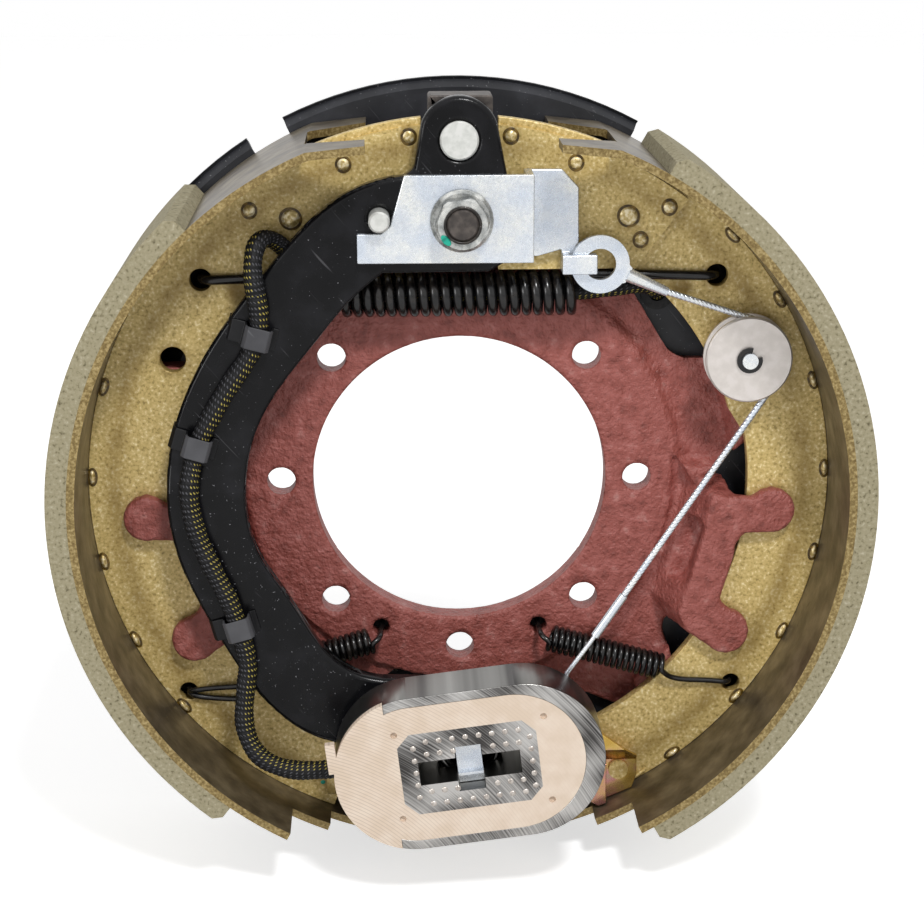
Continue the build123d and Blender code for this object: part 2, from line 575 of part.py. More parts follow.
def cable_bracket():
    """Plated plate on the anchor pin, stepped back to a tab whose hook carries the cable eye."""
    front = BRACKET_FRONT
    rear = BRACKET_FRONT + BRACKET_SHEET
    z = ANCHOR_HEIGHT
    profile = outline((-21, z + 16.5), (26.4, z + 16.5), (30, z + 16.5), (37.6, z + 16.5), (43.9, z + 9.8),
                      (44.2, z - 11.5), (39.6, z - 13), (28.9, z - 16), (-38.4, z - 15.8),
                      (-38.4, z - 4.8), (-29.5, z - 4.8), (-26.2, z - 2))
    prism = slab(profile, 0, -100)
    path = Polyline((-50, front), (26.5, front), (26.5, TAB_FRONT), (60, TAB_FRONT),
                    (60, TAB_FRONT + BRACKET_SHEET), (26.5 - BRACKET_SHEET, TAB_FRONT + BRACKET_SHEET),
                    (26.5 - BRACKET_SHEET, rear), (-50, rear), close=True)
    sheet = extrude(make_face(path), 200)
    plate = prism & sheet
    hook = Polyline((37.6, TAB_FRONT + BRACKET_SHEET), (37.6, HOOK_FRONT), (50.6, HOOK_FRONT),
                    (50.6, EYE_FRONT + 3.2), (48.0, EYE_FRONT + 3.2), (48.0, HOOK_FRONT + 2.4),
                    (40.4, HOOK_FRONT + 2.4), (40.4, TAB_FRONT + BRACKET_SHEET), close=True)
    hook_solid = Pos(0, 0, EYE_Z - 3.2) * extrude(make_face(hook), 7.2)
    joint = outline((37.6, EYE_Z - 3.2), (40.4, EYE_Z - 3.2), (44.2, EYE_Z + 9), (37.6, EYE_Z + 9))
    plate += hook_solid + slab(joint, TAB_FRONT + BRACKET_SHEET, TAB_FRONT)
    return plate - rod(0, ANCHOR_HEIGHT, SHOULDER_RADIUS + RUNNING_GAP, 0, -100)


def cable_eye():
    """Flat eye drawn down to a crimped barrel at its tail."""
    ring = slab(disc(EYE_X, EYE_Z, EYE_RADIUS), EYE_FRONT + EYE_SHEET, EYE_FRONT)
    tail = outline((EYE_X + 4, EYE_Z + 7.5), (EYE_X + 12, EYE_Z - 1.5), (EYE_X + 9.5, EYE_Z - 7),
                   (EYE_X, EYE_Z - 9))
    ring += slab(tail, EYE_FRONT + EYE_SHEET, EYE_FRONT)
    ring -= slab(disc(EYE_X, EYE_Z, EYE_BORE), 0, -60)
    start = Vector(EYE_X + 10, EYE_FRONT + EYE_SHEET / 2, EYE_Z - 4)
    end = Vector(*CABLE_START)
    root = Plane(origin=start, z_dir=end - start)
    mouth = Plane(origin=end, z_dir=cable_path() % 0)
    return ring + loft([root * Circle(2.7), mouth * Circle(1.75)])


def cable_path():
    """Route of the wire rope from the eye's barrel, round the pulley, down to the ferrule."""
    start = Vector(*CABLE_START)
    end = Vector(*FERRULE_TOP)
    first = tangent_angle(start, 1)
    last = tangent_angle(end, -1)
    reach = CABLE_WRAP_RADIUS / math.cos((first - last) / 2)
    middle = (first + last) / 2
    corner = Vector(PULLEY_X + reach * math.cos(middle), CABLE_Y, PULLEY_Z + reach * math.sin(middle))
    return FilletPolyline(start, corner, end, radius=CABLE_WRAP_RADIUS)


def adjuster_cable():
    return wire_rod(cable_path(), CABLE_RADIUS)


def tangent_angle(point, side):
    """Angle at which the cable from a point meets the pulley, above it for side 1, below for -1."""
    away = Vector(point.X - PULLEY_X, 0, point.Z - PULLEY_Z)
    swing = math.acos(CABLE_WRAP_RADIUS / away.length)
    return side * (abs(math.atan2(away.Z, away.X)) - swing)


def cable_ferrule():
    along = Plane(origin=FERRULE_TOP, z_dir=cable_path() % 1)
    return extrude(along * Circle(FERRULE_RADIUS), FERRULE_LENGTH)


def cable_hook():
    """Stiff wire from the ferrule, hooked through the lever."""
    front = LEVER_UPPER_FRONT - HOOK_WIRE_RADIUS - 0.3
    along = cable_path() % 1
    foot = Vector(*FERRULE_TOP) + along * FERRULE_LENGTH
    rear = LEVER_UPPER_FRONT + LEVER_SHEET + 1.5
    path = FilletPolyline(foot, foot + along * 3, (41.2, front, -74.0), (HOOK_HOLE_X, front, HOOK_HOLE_Z),
                          (HOOK_HOLE_X, rear, HOOK_HOLE_Z - 0.4), radius=1.3)
    return wire_rod(path, HOOK_WIRE_RADIUS)


def pulley_pin():
    """Shouldered pin riveted in the rear web."""
    place = Pos(PULLEY_X, 0, PULLEY_Z)
    pin = slab(Circle(SPARE_HOLE_RADIUS), WEB_REAR, WEB_FRONT)
    pin += slab(Circle(SPARE_HOLE_RADIUS + 2.2), WEB_FRONT, WEB_FRONT - 1.6)
    pin += slab(Circle(PULLEY_PIN_RADIUS), WEB_FRONT - 1.6, PULLEY_FRONT - 2.6)
    groove = Circle(PULLEY_PIN_RADIUS + 1) - Circle(PULLEY_PIN_RADIUS - 0.6)
    pin -= slab(groove, PULLEY_FRONT - 0.3, PULLEY_FRONT - 1.1)
    return place * pin


def pulley():
    """Turned roller with a groove for the cable."""
    rim = PULLEY_RADIUS
    floor = CABLE_WRAP_RADIUS - CABLE_RADIUS - 0.15
    rear = PULLEY_FRONT + PULLEY_WIDTH
    profile = outline((PULLEY_PIN_RADIUS + RUNNING_GAP, PULLEY_FRONT), (rim - 0.6, PULLEY_FRONT),
                      (rim, PULLEY_FRONT + 0.6), (rim, CABLE_Y - 2.6), (floor, CABLE_Y - 1.5),
                      (floor, CABLE_Y + 1.5), (rim, CABLE_Y + 2.6), (rim, rear),
                      (PULLEY_PIN_RADIUS + RUNNING_GAP, rear))
    return Pos(PULLEY_X, 0, PULLEY_Z) * revolve(Plane.XY * profile, Axis.Y)


def pulley_clip():
    """Open retaining ring in the pin's groove."""
    ring = sector(PULLEY_PIN_RADIUS - 0.55, PULLEY_PIN_RADIUS + 1.9, 75, 375)
    return Pos(PULLEY_X, 0, PULLEY_Z) * slab(ring, PULLEY_FRONT - 0.35, PULLEY_FRONT - 1.05)


def magnet_place(sketch, x=0, z=0):
    """Place a sketch in the magnet's tilted frame."""
    return Pos(MAGNET_X, MAGNET_Z) * Rot(0, 0, MAGNET_TILT) * Pos(x, z) * sketch


def magnet_cavity():
    length = MAGNET_LENGTH - MAGNET_RIM - MAGNET_END_RIM
    return Pos((MAGNET_RIM - MAGNET_END_RIM) / 2, 0) * SlotOverall(length, MAGNET_HEIGHT - 2 * MAGNET_RIM)


def magnet_left_end():
    """Part of the magnet's outline where the facing covers the case."""
    window = Pos(-MAGNET_LENGTH / 2 - 20 + 22, 0) * Rectangle(40, MAGNET_HEIGHT + 4)
    return SlotOverall(MAGNET_LENGTH, MAGNET_HEIGHT) & window


def magnet_case():
    """Steel cup with a floor, its left wall lower where the facing covers it."""
    case = slab(magnet_place(SlotOverall(MAGNET_LENGTH, MAGNET_HEIGHT)), MAGNET_REAR, MAGNET_FACE)
    case -= slab(magnet_place(magnet_cavity()), MAGNET_REAR - CASE_FLOOR, MAGNET_FACE - 1)
    case -= slab(magnet_place(magnet_left_end()), MAGNET_FACE + FACING_DEPTH, MAGNET_FACE - 1)
    case -= slab(magnet_place(Circle(SPRING_POCKET_RADIUS)), 0, MAGNET_REAR - CASE_FLOOR)
    lead_hole = Pos(-MAGNET_LENGTH / 2, LEAD_ENTRY) * Rectangle(14, 2 * LEAD_RADIUS + 1)
    lead_middle = MAGNET_REAR - CASE_FLOOR - LEAD_RADIUS - 0.6
    case -= slab(magnet_place(lead_hole), lead_middle + LEAD_RADIUS + 0.5, lead_middle - LEAD_RADIUS - 0.5)
    return case


def pole_core():
    """Inner pole block with its cross-shaped slot and a pocket for the follower spring."""
    shape = Rectangle(POLE_LENGTH, POLE_HEIGHT)
    shape = chamfer(shape.vertices(), 5.0)
    core = slab(magnet_place(shape), MAGNET_REAR - CASE_FLOOR, MAGNET_FACE)
    slot = magnet_place(Rectangle(SLOT_LENGTH, SLOT_HEIGHT))
    recess = magnet_place(Rectangle(CLIP_WIDTH + 0.6, CLIP_HEIGHT + 0.6))
    core -= slab(slot, 0, MAGNET_FACE - 1)
    core -= slab(recess, CLIP_REAR + 0.1, MAGNET_FACE - 1)
    core -= slab(magnet_place(Circle(SPRING_POCKET_RADIUS)), 0, MAGNET_REAR - SPRING_POCKET_DEPTH)
    return core


def magnet_coil():
    """Wound coil and its bobbin, sealed between the core and the case."""
    inside = magnet_cavity()
    ring = offset(inside, -1.5) - chamfer(Rectangle(POLE_LENGTH + 2, POLE_HEIGHT + 2).vertices(), 5.0)
    return slab(magnet_place(ring), MAGNET_REAR - CASE_FLOOR, MAGNET_FACE + FACING_DEPTH)


def friction_facing():
    """Moulded facing flush with the steel rim, over the whole left end."""
    hole = chamfer(Rectangle(POLE_LENGTH, POLE_HEIGHT).vertices(), 5.0)
    tab = Pos(-MAGNET_LENGTH / 2 + 0.2, 10.5) * Rectangle(3.6, 12)
    shape = magnet_cavity() + magnet_left_end() + tab - hole
    face = slab(magnet_place(shape), MAGNET_FACE + FACING_DEPTH, MAGNET_FACE)
    for x, z in ((-27.0, 17.0), (30.0, 17.0), (-28.0, -17.5), (29.5, -17.5)):
        face -= slab(magnet_place(Circle(1.3), x, z), MAGNET_FACE + 1.2, MAGNET_FACE - 1)
    return face


def magnet_post():
    """Flat post riveted to the arm; the magnet slides and tips on it."""
    post = slab(magnet_place(Rectangle(POST_WIDTH, SLOT_HEIGHT - 0.2)), LOW_ARM_FRONT, CLIP_REAR)
    post += rod(MAGNET_X, MAGNET_Z, POST_RIVET_RADIUS, LOW_ARM_FRONT + ARM_THICKNESS, LOW_ARM_FRONT)
    return post


def magnet_clip():
    """Spring clip across the end of the post that keeps the magnet on."""
    plate = slab(magnet_place(Rectangle(CLIP_WIDTH, CLIP_HEIGHT)), CLIP_REAR, CLIP_REAR - 1)
    lip = Pos(0, -CLIP_HEIGHT / 2 + 4) * Rectangle(CLIP_WIDTH, 1)
    return plate + slab(magnet_place(lip), CLIP_REAR - 1, CLIP_REAR - 3)


def coil(pitch, turns, radius, wire):
    """Helical wire along local +Z, with both ends at local +X."""
    path = Helix(pitch=pitch, height=pitch * turns, radius=radius)
    start = Plane(origin=path @ 0, z_dir=path % 0)
    return sweep(start * Circle(wire), path=path, is_frenet=True)


def follower_spring():
    turns = 2
    height = LOW_ARM_FRONT - (MAGNET_REAR - SPRING_POCKET_DEPTH) - 2 * FOLLOWER_WIRE - 0.4
    body = coil(height / turns, turns, FOLLOWER_RADIUS, FOLLOWER_WIRE)
    place = Plane(origin=(MAGNET_X, LOW_ARM_FRONT - FOLLOWER_WIRE - 0.2, MAGNET_Z), z_dir=(0, -1, 0))
    return place.location * body


def return_spring():
    """Long coil spring behind the arm, hooked to both webs."""
    half = RETURN_TURNS * RETURN_PITCH / 2
    radius = RETURN_RADIUS - RETURN_WIRE
    place = Plane(origin=(-half, RETURN_Y, RETURN_Z), x_dir=(0, 0, 1), z_dir=(1, 0, 0))
    spring = place.location * coil(RETURN_PITCH, RETURN_TURNS, radius, RETURN_WIRE)
    for side in (1, -1):
        hook_y = WEB_FRONT - RETURN_WIRE - 0.15
        path = FilletPolyline((side * half, RETURN_Y, RETURN_Z + radius),
                              (side * (half + 10), hook_y, RETURN_Z + radius),
                              (side * (RETURN_HOLE_X - 12), hook_y, RETURN_HOLE_Z + 0.4),
                              (side * RETURN_HOLE_X, hook_y, RETURN_HOLE_Z),
                              (side * RETURN_HOLE_X, WEB_REAR + 1, RETURN_HOLE_Z), radius=[3, 3, 2.2])
        spring += wire_rod(path, RETURN_WIRE)
    return spring


def lower_spring(side):
    """Short coil spring from the casting to the lower hole of a web."""
    start = Vector(LOWER_COIL_START)
    end = Vector(LOWER_COIL_END)
    length = (end - start).length
    radius = LOWER_RADIUS - LOWER_WIRE
    place = Plane(origin=start, x_dir=(0, -1, 0), z_dir=end - start)
    spring = place.location * coil(length / LOWER_TURNS, LOWER_TURNS, radius, LOWER_WIRE)
    first = place.origin + place.x_dir * radius
    last = first + place.z_dir * length
    hook_y = WEB_FRONT - LOWER_WIRE - 0.2
    to_casting = FilletPolyline(first, (SPRING_HOLE_X + 0.6, FLANGE_FRONT - 9, SPRING_HOLE_Z - 1.2),
                                (SPRING_HOLE_X, FLANGE_FRONT - 4, SPRING_HOLE_Z),
                                (SPRING_HOLE_X - 0.4, FLANGE_FRONT + 5, SPRING_HOLE_Z), radius=1.2)
    to_web = FilletPolyline(last, (84.5, hook_y - 1.5, -80.5),
                            (LOWER_HOLE_X - 8, hook_y, LOWER_HOLE_Z + 0.4),
                            (LOWER_HOLE_X, hook_y, LOWER_HOLE_Z),
                            (LOWER_HOLE_X, WEB_REAR + 1, LOWER_HOLE_Z), radius=1.2)
    spring += wire_rod(to_casting, LOWER_WIRE)
    spring += wire_rod(to_web, LOWER_WIRE)
    return mirrored(spring, side)


def adjuster_nut():
    """Tube with an inner thread and a fork over the front web's end."""
    tube = Circle(TUBE_RADIUS) - Circle(SCREW_RADIUS + 0.3)
    body = adjuster_length(tube, -ADJUSTER_END_X + 4, STAR_LEFT - 1)
    body += adjuster_length(Circle(TUBE_RADIUS), -ADJUSTER_END_X - 7, -ADJUSTER_END_X + 4)
    return body - fork_slot(-1)


def adjuster_socket():
    """Plain socket with a fork over the rear web's end."""
    tube = Circle(TUBE_RADIUS) - Circle(SCREW_RADIUS + RUNNING_GAP)
    body = adjuster_length(tube, WASHER_RIGHT, 24)
    return body + adjuster_length(Circle(TUBE_RADIUS), 24, ADJUSTER_END_X + 7) - fork_slot(1)


def adjuster_length(profile, start, end):
    """Extrude a round profile along the adjuster's axis."""
    plane = Plane(origin=(start, WEB_MIDDLE, ADJUSTER_Z), x_dir=(0, 1, 0), z_dir=(1, 0, 0))
    return extrude(plane * profile, end - start)


def fork_slot(side):
    """Slot that takes the web's end, a little wider than the web."""
    x = side * (ADJUSTER_END_X - SEAT_GAP + 10)
    return Pos(x, WEB_MIDDLE, ADJUSTER_Z) * Box(20, WEB_THICKNESS + 0.6, 30)


def thrust_washer():
    ring = Circle(TUBE_RADIUS) - Circle(SCREW_RADIUS + RUNNING_GAP)
    return adjuster_length(ring, STAR_RIGHT, WASHER_RIGHT)


def star_screw():
    """Threaded shank, toothed wheel and plain journal, in one piece."""
    tooth = Pos(STAR_RADIUS - 1.2, 0) * Rectangle(3.0, 1.9)
    wheel = Circle(STAR_RADIUS - 2.2)
    for index in range(STAR_TEETH):
        wheel += Rot(0, 0, 360 / STAR_TEETH * index) * tooth
    screw = adjuster_length(wheel, STAR_LEFT, STAR_RIGHT)
    screw += adjuster_length(Circle(SCREW_RADIUS), -ADJUSTER_END_X + 12, STAR_LEFT)
    screw += adjuster_length(Circle(SCREW_RADIUS), STAR_RIGHT, 22)
    return screw


def adjuster_lever():
    """Folded lever: pivot plate near the web, upper arm and pawl stepped forward."""
    x, z = LEVER_PIVOT_X, LEVER_PIVOT_Z
    profile = outline((x - 26, z + 39), (x - 18, z + 39), (x - 7, z + 17), (x + 7.5, z + 6),
                      (x + 7.7, z - 2.5), (x + 5.8, z - 8.5), (x - 8, z - 14.5), (x - 14, z - 10.5),
                      (x - 50, z - 6.7), (x - 50, z - 0.3), (x - 26, z + 6))
    upper = LEVER_UPPER_FRONT
    lower = LEVER_LOWER_FRONT
    sheet = LEVER_SHEET
    ribbon = Polyline((upper, z + 60), (upper, z + 10), (lower, z + 4), (lower, z - 40),
                      (lower + sheet, z - 40), (lower + sheet, z + 4), (upper + sheet, z + 10),
                      (upper + sheet, z + 60), close=True)
    bent = extrude(Plane.YZ * make_face(ribbon), 200)
    lever = slab(profile, 0, -60) & bent
    pawl_zone = Pos(x - 35.6, z) * Rectangle(54.8, 60)
    lever -= slab(pawl_zone, 0, -60)
    lever += slab(profile & pawl_zone, upper + sheet, upper)
    lever += slab(profile & (Pos(x - 6.6, z - 7) * Rectangle(3.2, 22)), lower + sheet, upper)
    tongue = Pos(PAWL_TIP_X + 10, ADJUSTER_Z) * Rectangle(20, 6.5)
    lever += slab(tongue, PAWL_REAR, PAWL_REAR - sheet)
    lever -= rod(x, z, LEVER_PIN_RADIUS - 1.5 + RUNNING_GAP, 0, -60)
    return lever - rod(HOOK_HOLE_X, HOOK_HOLE_Z, HOOK_WIRE_RADIUS + 0.5, 0, -60)


def lever_pivot():
    """Stepped rivet that carries the lever on the rear web."""
    x, z = LEVER_PIVOT_X, LEVER_PIVOT_Z
    pin = rod(x, z, LEVER_PIN_RADIUS, WEB_REAR, LEVER_LOWER_FRONT + LEVER_SHEET + 0.2)
    pin += rod(x, z, LEVER_PIN_RADIUS - 1.5, WEB_FRONT, LEVER_LOWER_FRONT - 0.2)
    return pin + rod(x, z, LEVER_PIN_RADIUS - 0.6, LEVER_LOWER_FRONT - 0.2, LEVER_LOWER_FRONT - 1.6)


def lever_spring():
    """Torsion spring round the lever's rivet, one leg towards the table."""
    x, z = LEVER_PIVOT_X, LEVER_PIVOT_Z
    radius = LEVER_PIN_RADIUS + 1.1
    rear = WEB_FRONT - LEVER_WIRE - 0.1
    place = Plane(origin=(x, rear, z), x_dir=(0, 0, -1), z_dir=(0, -1, 0))
    spring = place.location * coil(2 * LEVER_WIRE + 0.15, 1, radius, LEVER_WIRE)
    leg = FilletPolyline((x, rear, z - radius), (x + 7, rear - 0.1, z - radius - 0.6),
                         (x + 11.5, rear, z - 3), radius=1.5)
    return spring + wire_rod(leg, LEVER_WIRE)


def cord_path(points):
    """Straight runs joined by tangent arcs as large as the runs allow."""
    corners = [Vector(*point) for point in points]
    radii = []
    for before, here, after in zip(corners, corners[1:], corners[2:]):
        run = min((here - before).length, (after - here).length)
        turn = math.radians((here - before).get_angle(after - here))
        radii.append(0.45 * run / math.tan(turn / 2))
    print("cord radii", [round(radius, 1) for radius in radii])
    return FilletPolyline(*corners, radius=radii)


def lead_on_arm():
    """Sleeved leads clipped along the arm and into the magnet."""
    return wire_rod(cord_path(LEAD_ARM_POINTS), LEAD_RADIUS)


def magnet_lead():
    """Slack stretch of the sleeve from the last clip into the magnet."""
    return wire_rod(cord_path(MAGNET_LEAD_POINTS), LEAD_RADIUS)


def lead_loop():
    """Sleeved leads from the arm, behind it and through the return spring to the grommet."""
    return wire_rod(cord_path(LEAD_LOOP_POINTS), LOOP_RADIUS)


def wire_clips():
    """Three pressed straps that hold the sleeve on the arm."""
    group = []
    inner = LEAD_RADIUS + 1.5 * SEAT_GAP
    outer = inner + CLIP_SHEET
    legs = Pos(0, -LEAD_RADIUS / 2) * Rectangle(2 * outer, LEAD_RADIUS)
    feet = Pos(0, CLIP_SHEET / 2 - LEAD_RADIUS) * Rectangle(2 * outer + 6, CLIP_SHEET)
    hollow = Circle(inner) + Pos(0, -LEAD_RADIUS) * Rectangle(2 * inner, 2 * LEAD_RADIUS)
    above = Pos(0, 10 - LEAD_RADIUS) * Rectangle(40, 20)
    strap = ((Circle(outer) + legs + feet) & above) - hollow
    for x, y, z, angle in CLIP_PLACES:
        turn = math.radians(angle)
        along = Vector(math.cos(turn), 0, math.sin(turn))
        across = Vector(-math.sin(turn), 0, math.cos(turn))
        place = Plane(origin=Vector(x, y, z) - along * CLIP_LENGTH / 2, x_dir=across, z_dir=along)
        group.append(extrude(place * strap, CLIP_LENGTH))
    return Compound(children=group)


def lead_tail(points):
    """Free end of one lead behind the shield, cut off square."""
    return wire_rod(cord_path(points), TAIL_RADIUS)


def build_all():
    save(spider(), "spider")
    save(dust_shield(), "dust_shield")
    save(shield_screws(), "shield_screws")
    save(slot_plugs(), "slot_plugs")
    save(lead_grommet(), "lead_grommet")
    save(anchor_pin(), "anchor_pin")
    save(pivot_nut(), "pivot_nut")
    for side, name, arc in ((-1, "front", FRONT_LINING_ARC), (1, "rear", REAR_LINING_ARC)):
        save(shoe_web(side), f"{name}_shoe_web")
        save(web_doubler(side), f"{name}_web_doubler")
        save(shoe_table(side), f"{name}_shoe_table")
        save(lining(arc), f"{name}_lining")
    save(magnet_arm(), "magnet_arm")
    save(pivot_bush(), "pivot_bush")
    save(cam_block(), "cam_block")
    save(cam_pin(), "cam_pin")
    save(stop_pin(), "stop_pin")
    save(wire_clips(), "wire_clips")
    save(cable_bracket(), "cable_bracket")
    save(cable_eye(), "cable_eye")
    save(adjuster_cable(), "adjuster_cable")
    save(cable_ferrule(), "cable_ferrule")
    save(cable_hook(), "cable_hook")
    save(pulley_pin(), "pulley_pin")
    save(pulley(), "pulley")
    save(pulley_clip(), "pulley_clip")
    save(magnet_case(), "magnet_case")
    save(pole_core(), "pole_core")
    save(magnet_coil(), "magnet_coil")
    save(friction_facing(), "friction_facing")
    save(magnet_post(), "magnet_post")
    save(magnet_clip(), "magnet_clip")
    save(follower_spring(), "follower_spring")
    save(return_spring(), "return_spring")
    save(lower_spring(-1), "front_lower_spring")
    save(lower_spring(1), "rear_lower_spring")
    save(adjuster_nut(), "adjuster_nut")
    save(adjuster_socket(), "adjuster_socket")
    save(thrust_washer(), "thrust_washer")
    save(star_screw(), "star_screw")
    save(adjuster_lever(), "adjuster_lever")
    save(lever_pivot(), "lever_pivot")
    save(lever_spring(), "lever_spring")
    save(lead_on_arm(), "lead_on_arm")
    save(magnet_lead(), "magnet_lead")
    save(lead_loop(), "lead_loop")
    save(lead_tail(UPPER_TAIL_POINTS), "upper_lead_tail")
    save(lead_tail(LOWER_TAIL_POINTS), "lower_lead_tail")


build_all()
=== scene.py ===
# %% [markdown]
# A trailer brake, dressed for its picture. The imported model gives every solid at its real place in
# metres, so this script only adds what a solid lacks: the camera, the cords, soft edges, a cast skin,
# woven sleeve, stranded rope, weld marks, and a finish for each metal. +Z is up and the camera looks
# along +Y. One helper puts new data into the scene under a name.

# %% Load the model
import json
import math

import bpy
import numpy as np
from mathutils import Matrix, Vector


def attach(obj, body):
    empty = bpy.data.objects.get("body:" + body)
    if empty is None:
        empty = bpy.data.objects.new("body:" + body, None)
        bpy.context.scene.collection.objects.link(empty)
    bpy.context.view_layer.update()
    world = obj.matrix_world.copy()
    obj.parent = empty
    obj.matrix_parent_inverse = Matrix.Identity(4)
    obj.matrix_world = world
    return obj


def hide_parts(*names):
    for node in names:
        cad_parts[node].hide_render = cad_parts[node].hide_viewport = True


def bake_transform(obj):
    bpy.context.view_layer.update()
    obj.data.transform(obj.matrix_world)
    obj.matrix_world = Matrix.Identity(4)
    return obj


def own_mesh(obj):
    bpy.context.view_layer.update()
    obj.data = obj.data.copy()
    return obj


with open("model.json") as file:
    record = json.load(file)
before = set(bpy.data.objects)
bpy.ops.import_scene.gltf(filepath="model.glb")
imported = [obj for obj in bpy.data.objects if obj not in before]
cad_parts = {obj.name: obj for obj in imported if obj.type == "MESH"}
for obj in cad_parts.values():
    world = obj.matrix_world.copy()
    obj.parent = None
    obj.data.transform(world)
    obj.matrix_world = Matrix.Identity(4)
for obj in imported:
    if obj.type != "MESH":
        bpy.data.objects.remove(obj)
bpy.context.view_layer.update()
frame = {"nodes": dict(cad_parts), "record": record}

nodes = frame["nodes"]


def put(name, data):
    """A new object in the scene that shows this data."""
    made = bpy.data.objects.new(name, data)
    bpy.context.scene.collection.objects.link(made)
    return made


# %% [markdown]
# The camera stands in front and a little above, as the photographer did. Its three axes were solved
# from the bolt circle and the shoes, so the picture lines up with the real one. The lens is long,
# which keeps the round flange round.

# %% Camera
RIGHT = Vector((0.99930, -0.03725, -0.00232))
UP = Vector((0.01256, 0.27706, 0.96077))
FORWARD = Vector((0.03514, 0.96013, -0.27733))
CAMERA_PLACE = (-0.02814, -0.80558, 0.23687)
FOCAL_LENGTH, SENSOR_WIDTH = 82.36, 36.0
lens = bpy.data.cameras.new("camera")
lens.lens = FOCAL_LENGTH
lens.sensor_width = SENSOR_WIDTH
camera = put("camera", lens)
turn = Matrix((RIGHT, UP, -FORWARD)).transposed()
camera.matrix_world = Matrix.Translation(CAMERA_PLACE) @ turn.to_4x4()
bpy.context.scene.camera = camera
print("camera is", round(camera.location.length, 3), "m from the flange")

# %% [markdown]
# Wires, sleeve, rope and springs are all tubes swept along a smooth line. The line is read from a NURBS
# spline whose control points are the corners of a route, and its points are then spaced evenly, so that
# a pattern along the tube keeps its pitch.

# %% Smooth lines
CURVE_STEPS = 16


def route_points(name, points):
    """The smooth line of a route, read from its open NURBS spline."""
    curve = bpy.data.curves.new(name, "CURVE")
    curve.dimensions = "3D"
    curve.resolution_u = CURVE_STEPS
    spline = curve.splines.new("NURBS")
    spline.points.add(len(points) - 1)
    for knot, point in zip(spline.points, points):
        knot.co = (*point, 1.0)
    spline.order_u = 3
    spline.use_endpoint_u = True
    route = put(name, curve)
    mesh = bpy.data.meshes.new_from_object(route)
    line = np.array([vertex.co for vertex in mesh.vertices])
    bpy.data.objects.remove(route)
    bpy.data.meshes.remove(mesh)
    return line


def evenly(line, step):
    """The same line with its points a fixed distance apart."""
    runs = np.linalg.norm(np.diff(line, axis=0), axis=1)
    along = np.concatenate([[0.0], np.cumsum(runs)])
    wanted = np.linspace(0.0, along[-1], max(2, int(along[-1] / step)))
    return np.stack([np.interp(wanted, along, line[:, axis]) for axis in range(3)], axis=1)


print("a spline gives each tube its line")

# %% [markdown]
# One helper sweeps a ring of points along a line. It stores the distance along the tube and the angle
# round it as UVs, and a pattern that follows the tube reads those.

# %% Sweep a tube along a line
NEARLY_PARALLEL = 0.1


def tube(name, line, sides, radius, start=0.0):
    """A closed tube round a line. radius(along, angle) gives its size in metres."""
    runs = np.linalg.norm(np.diff(line, axis=0), axis=1)
    along = start + np.concatenate([[0.0], np.cumsum(runs)])
    tangents = np.gradient(line, axis=0)
    tangents /= np.linalg.norm(tangents, axis=1)[:, None]
    across = np.cross(tangents[0], (0.0, 0.0, 1.0))
    if np.linalg.norm(across) < NEARLY_PARALLEL:
        across = np.cross(tangents[0], (0.0, 1.0, 0.0))
    normals = []
    for tangent in tangents:
        across = across - tangent * np.dot(across, tangent)
        across /= np.linalg.norm(across)
        normals.append(across)
    normals = np.array(normals)
    binormals = np.cross(tangents, normals)
    angle = np.linspace(0.0, 2 * math.pi, sides, endpoint=False)
    size = radius(along[:, None], angle[None, :]) * np.ones((len(line), sides))
    ring = (np.cos(angle)[None, :, None] * normals[:, None, :]
            + np.sin(angle)[None, :, None] * binormals[:, None, :])
    verts = (line[:, None, :] + size[:, :, None] * ring).reshape(-1, 3)
    faces = []
    uvs = []
    for i in range(len(line) - 1):
        for j in range(sides):
            k = (j + 1) % sides
            faces.append((i * sides + j, i * sides + k, (i + 1) * sides + k, (i + 1) * sides + j))
            low, high = j / sides, (j + 1) / sides
            uvs += [(along[i], low), (along[i], high), (along[i + 1], high), (along[i + 1], low)]
    for end in (tuple(range(sides - 1, -1, -1)), tuple(range((len(line) - 1) * sides, len(line) * sides))):
        faces.append(end)
        uvs += [(along[0], 0.0)] * sides
    mesh = bpy.data.meshes.new(name)
    mesh.from_pydata(verts.tolist(), [], faces)
    layer = mesh.uv_layers.new(name="along_round")
    layer.data.foreach_set("uv", np.array(uvs, np.float32).ravel())
    mesh.polygons.foreach_set("use_smooth", [True] * (len(faces) - 2) + [False] * 2)
    mesh.update()
    return put(name, mesh)


def wire(line, radius, name, sides=14):
    """A plain round wire along a line."""
    return tube(name, line, sides, lambda along, angle: radius + 0 * along)


print("a tube follows a smooth line")

# %% [markdown]
# Two insulated wires leave the shield's rubber grommet and hang behind the shield. A hanging wire is a
# smooth curve, so each follows one NURBS spline whose control points are the route of the CAD solid.

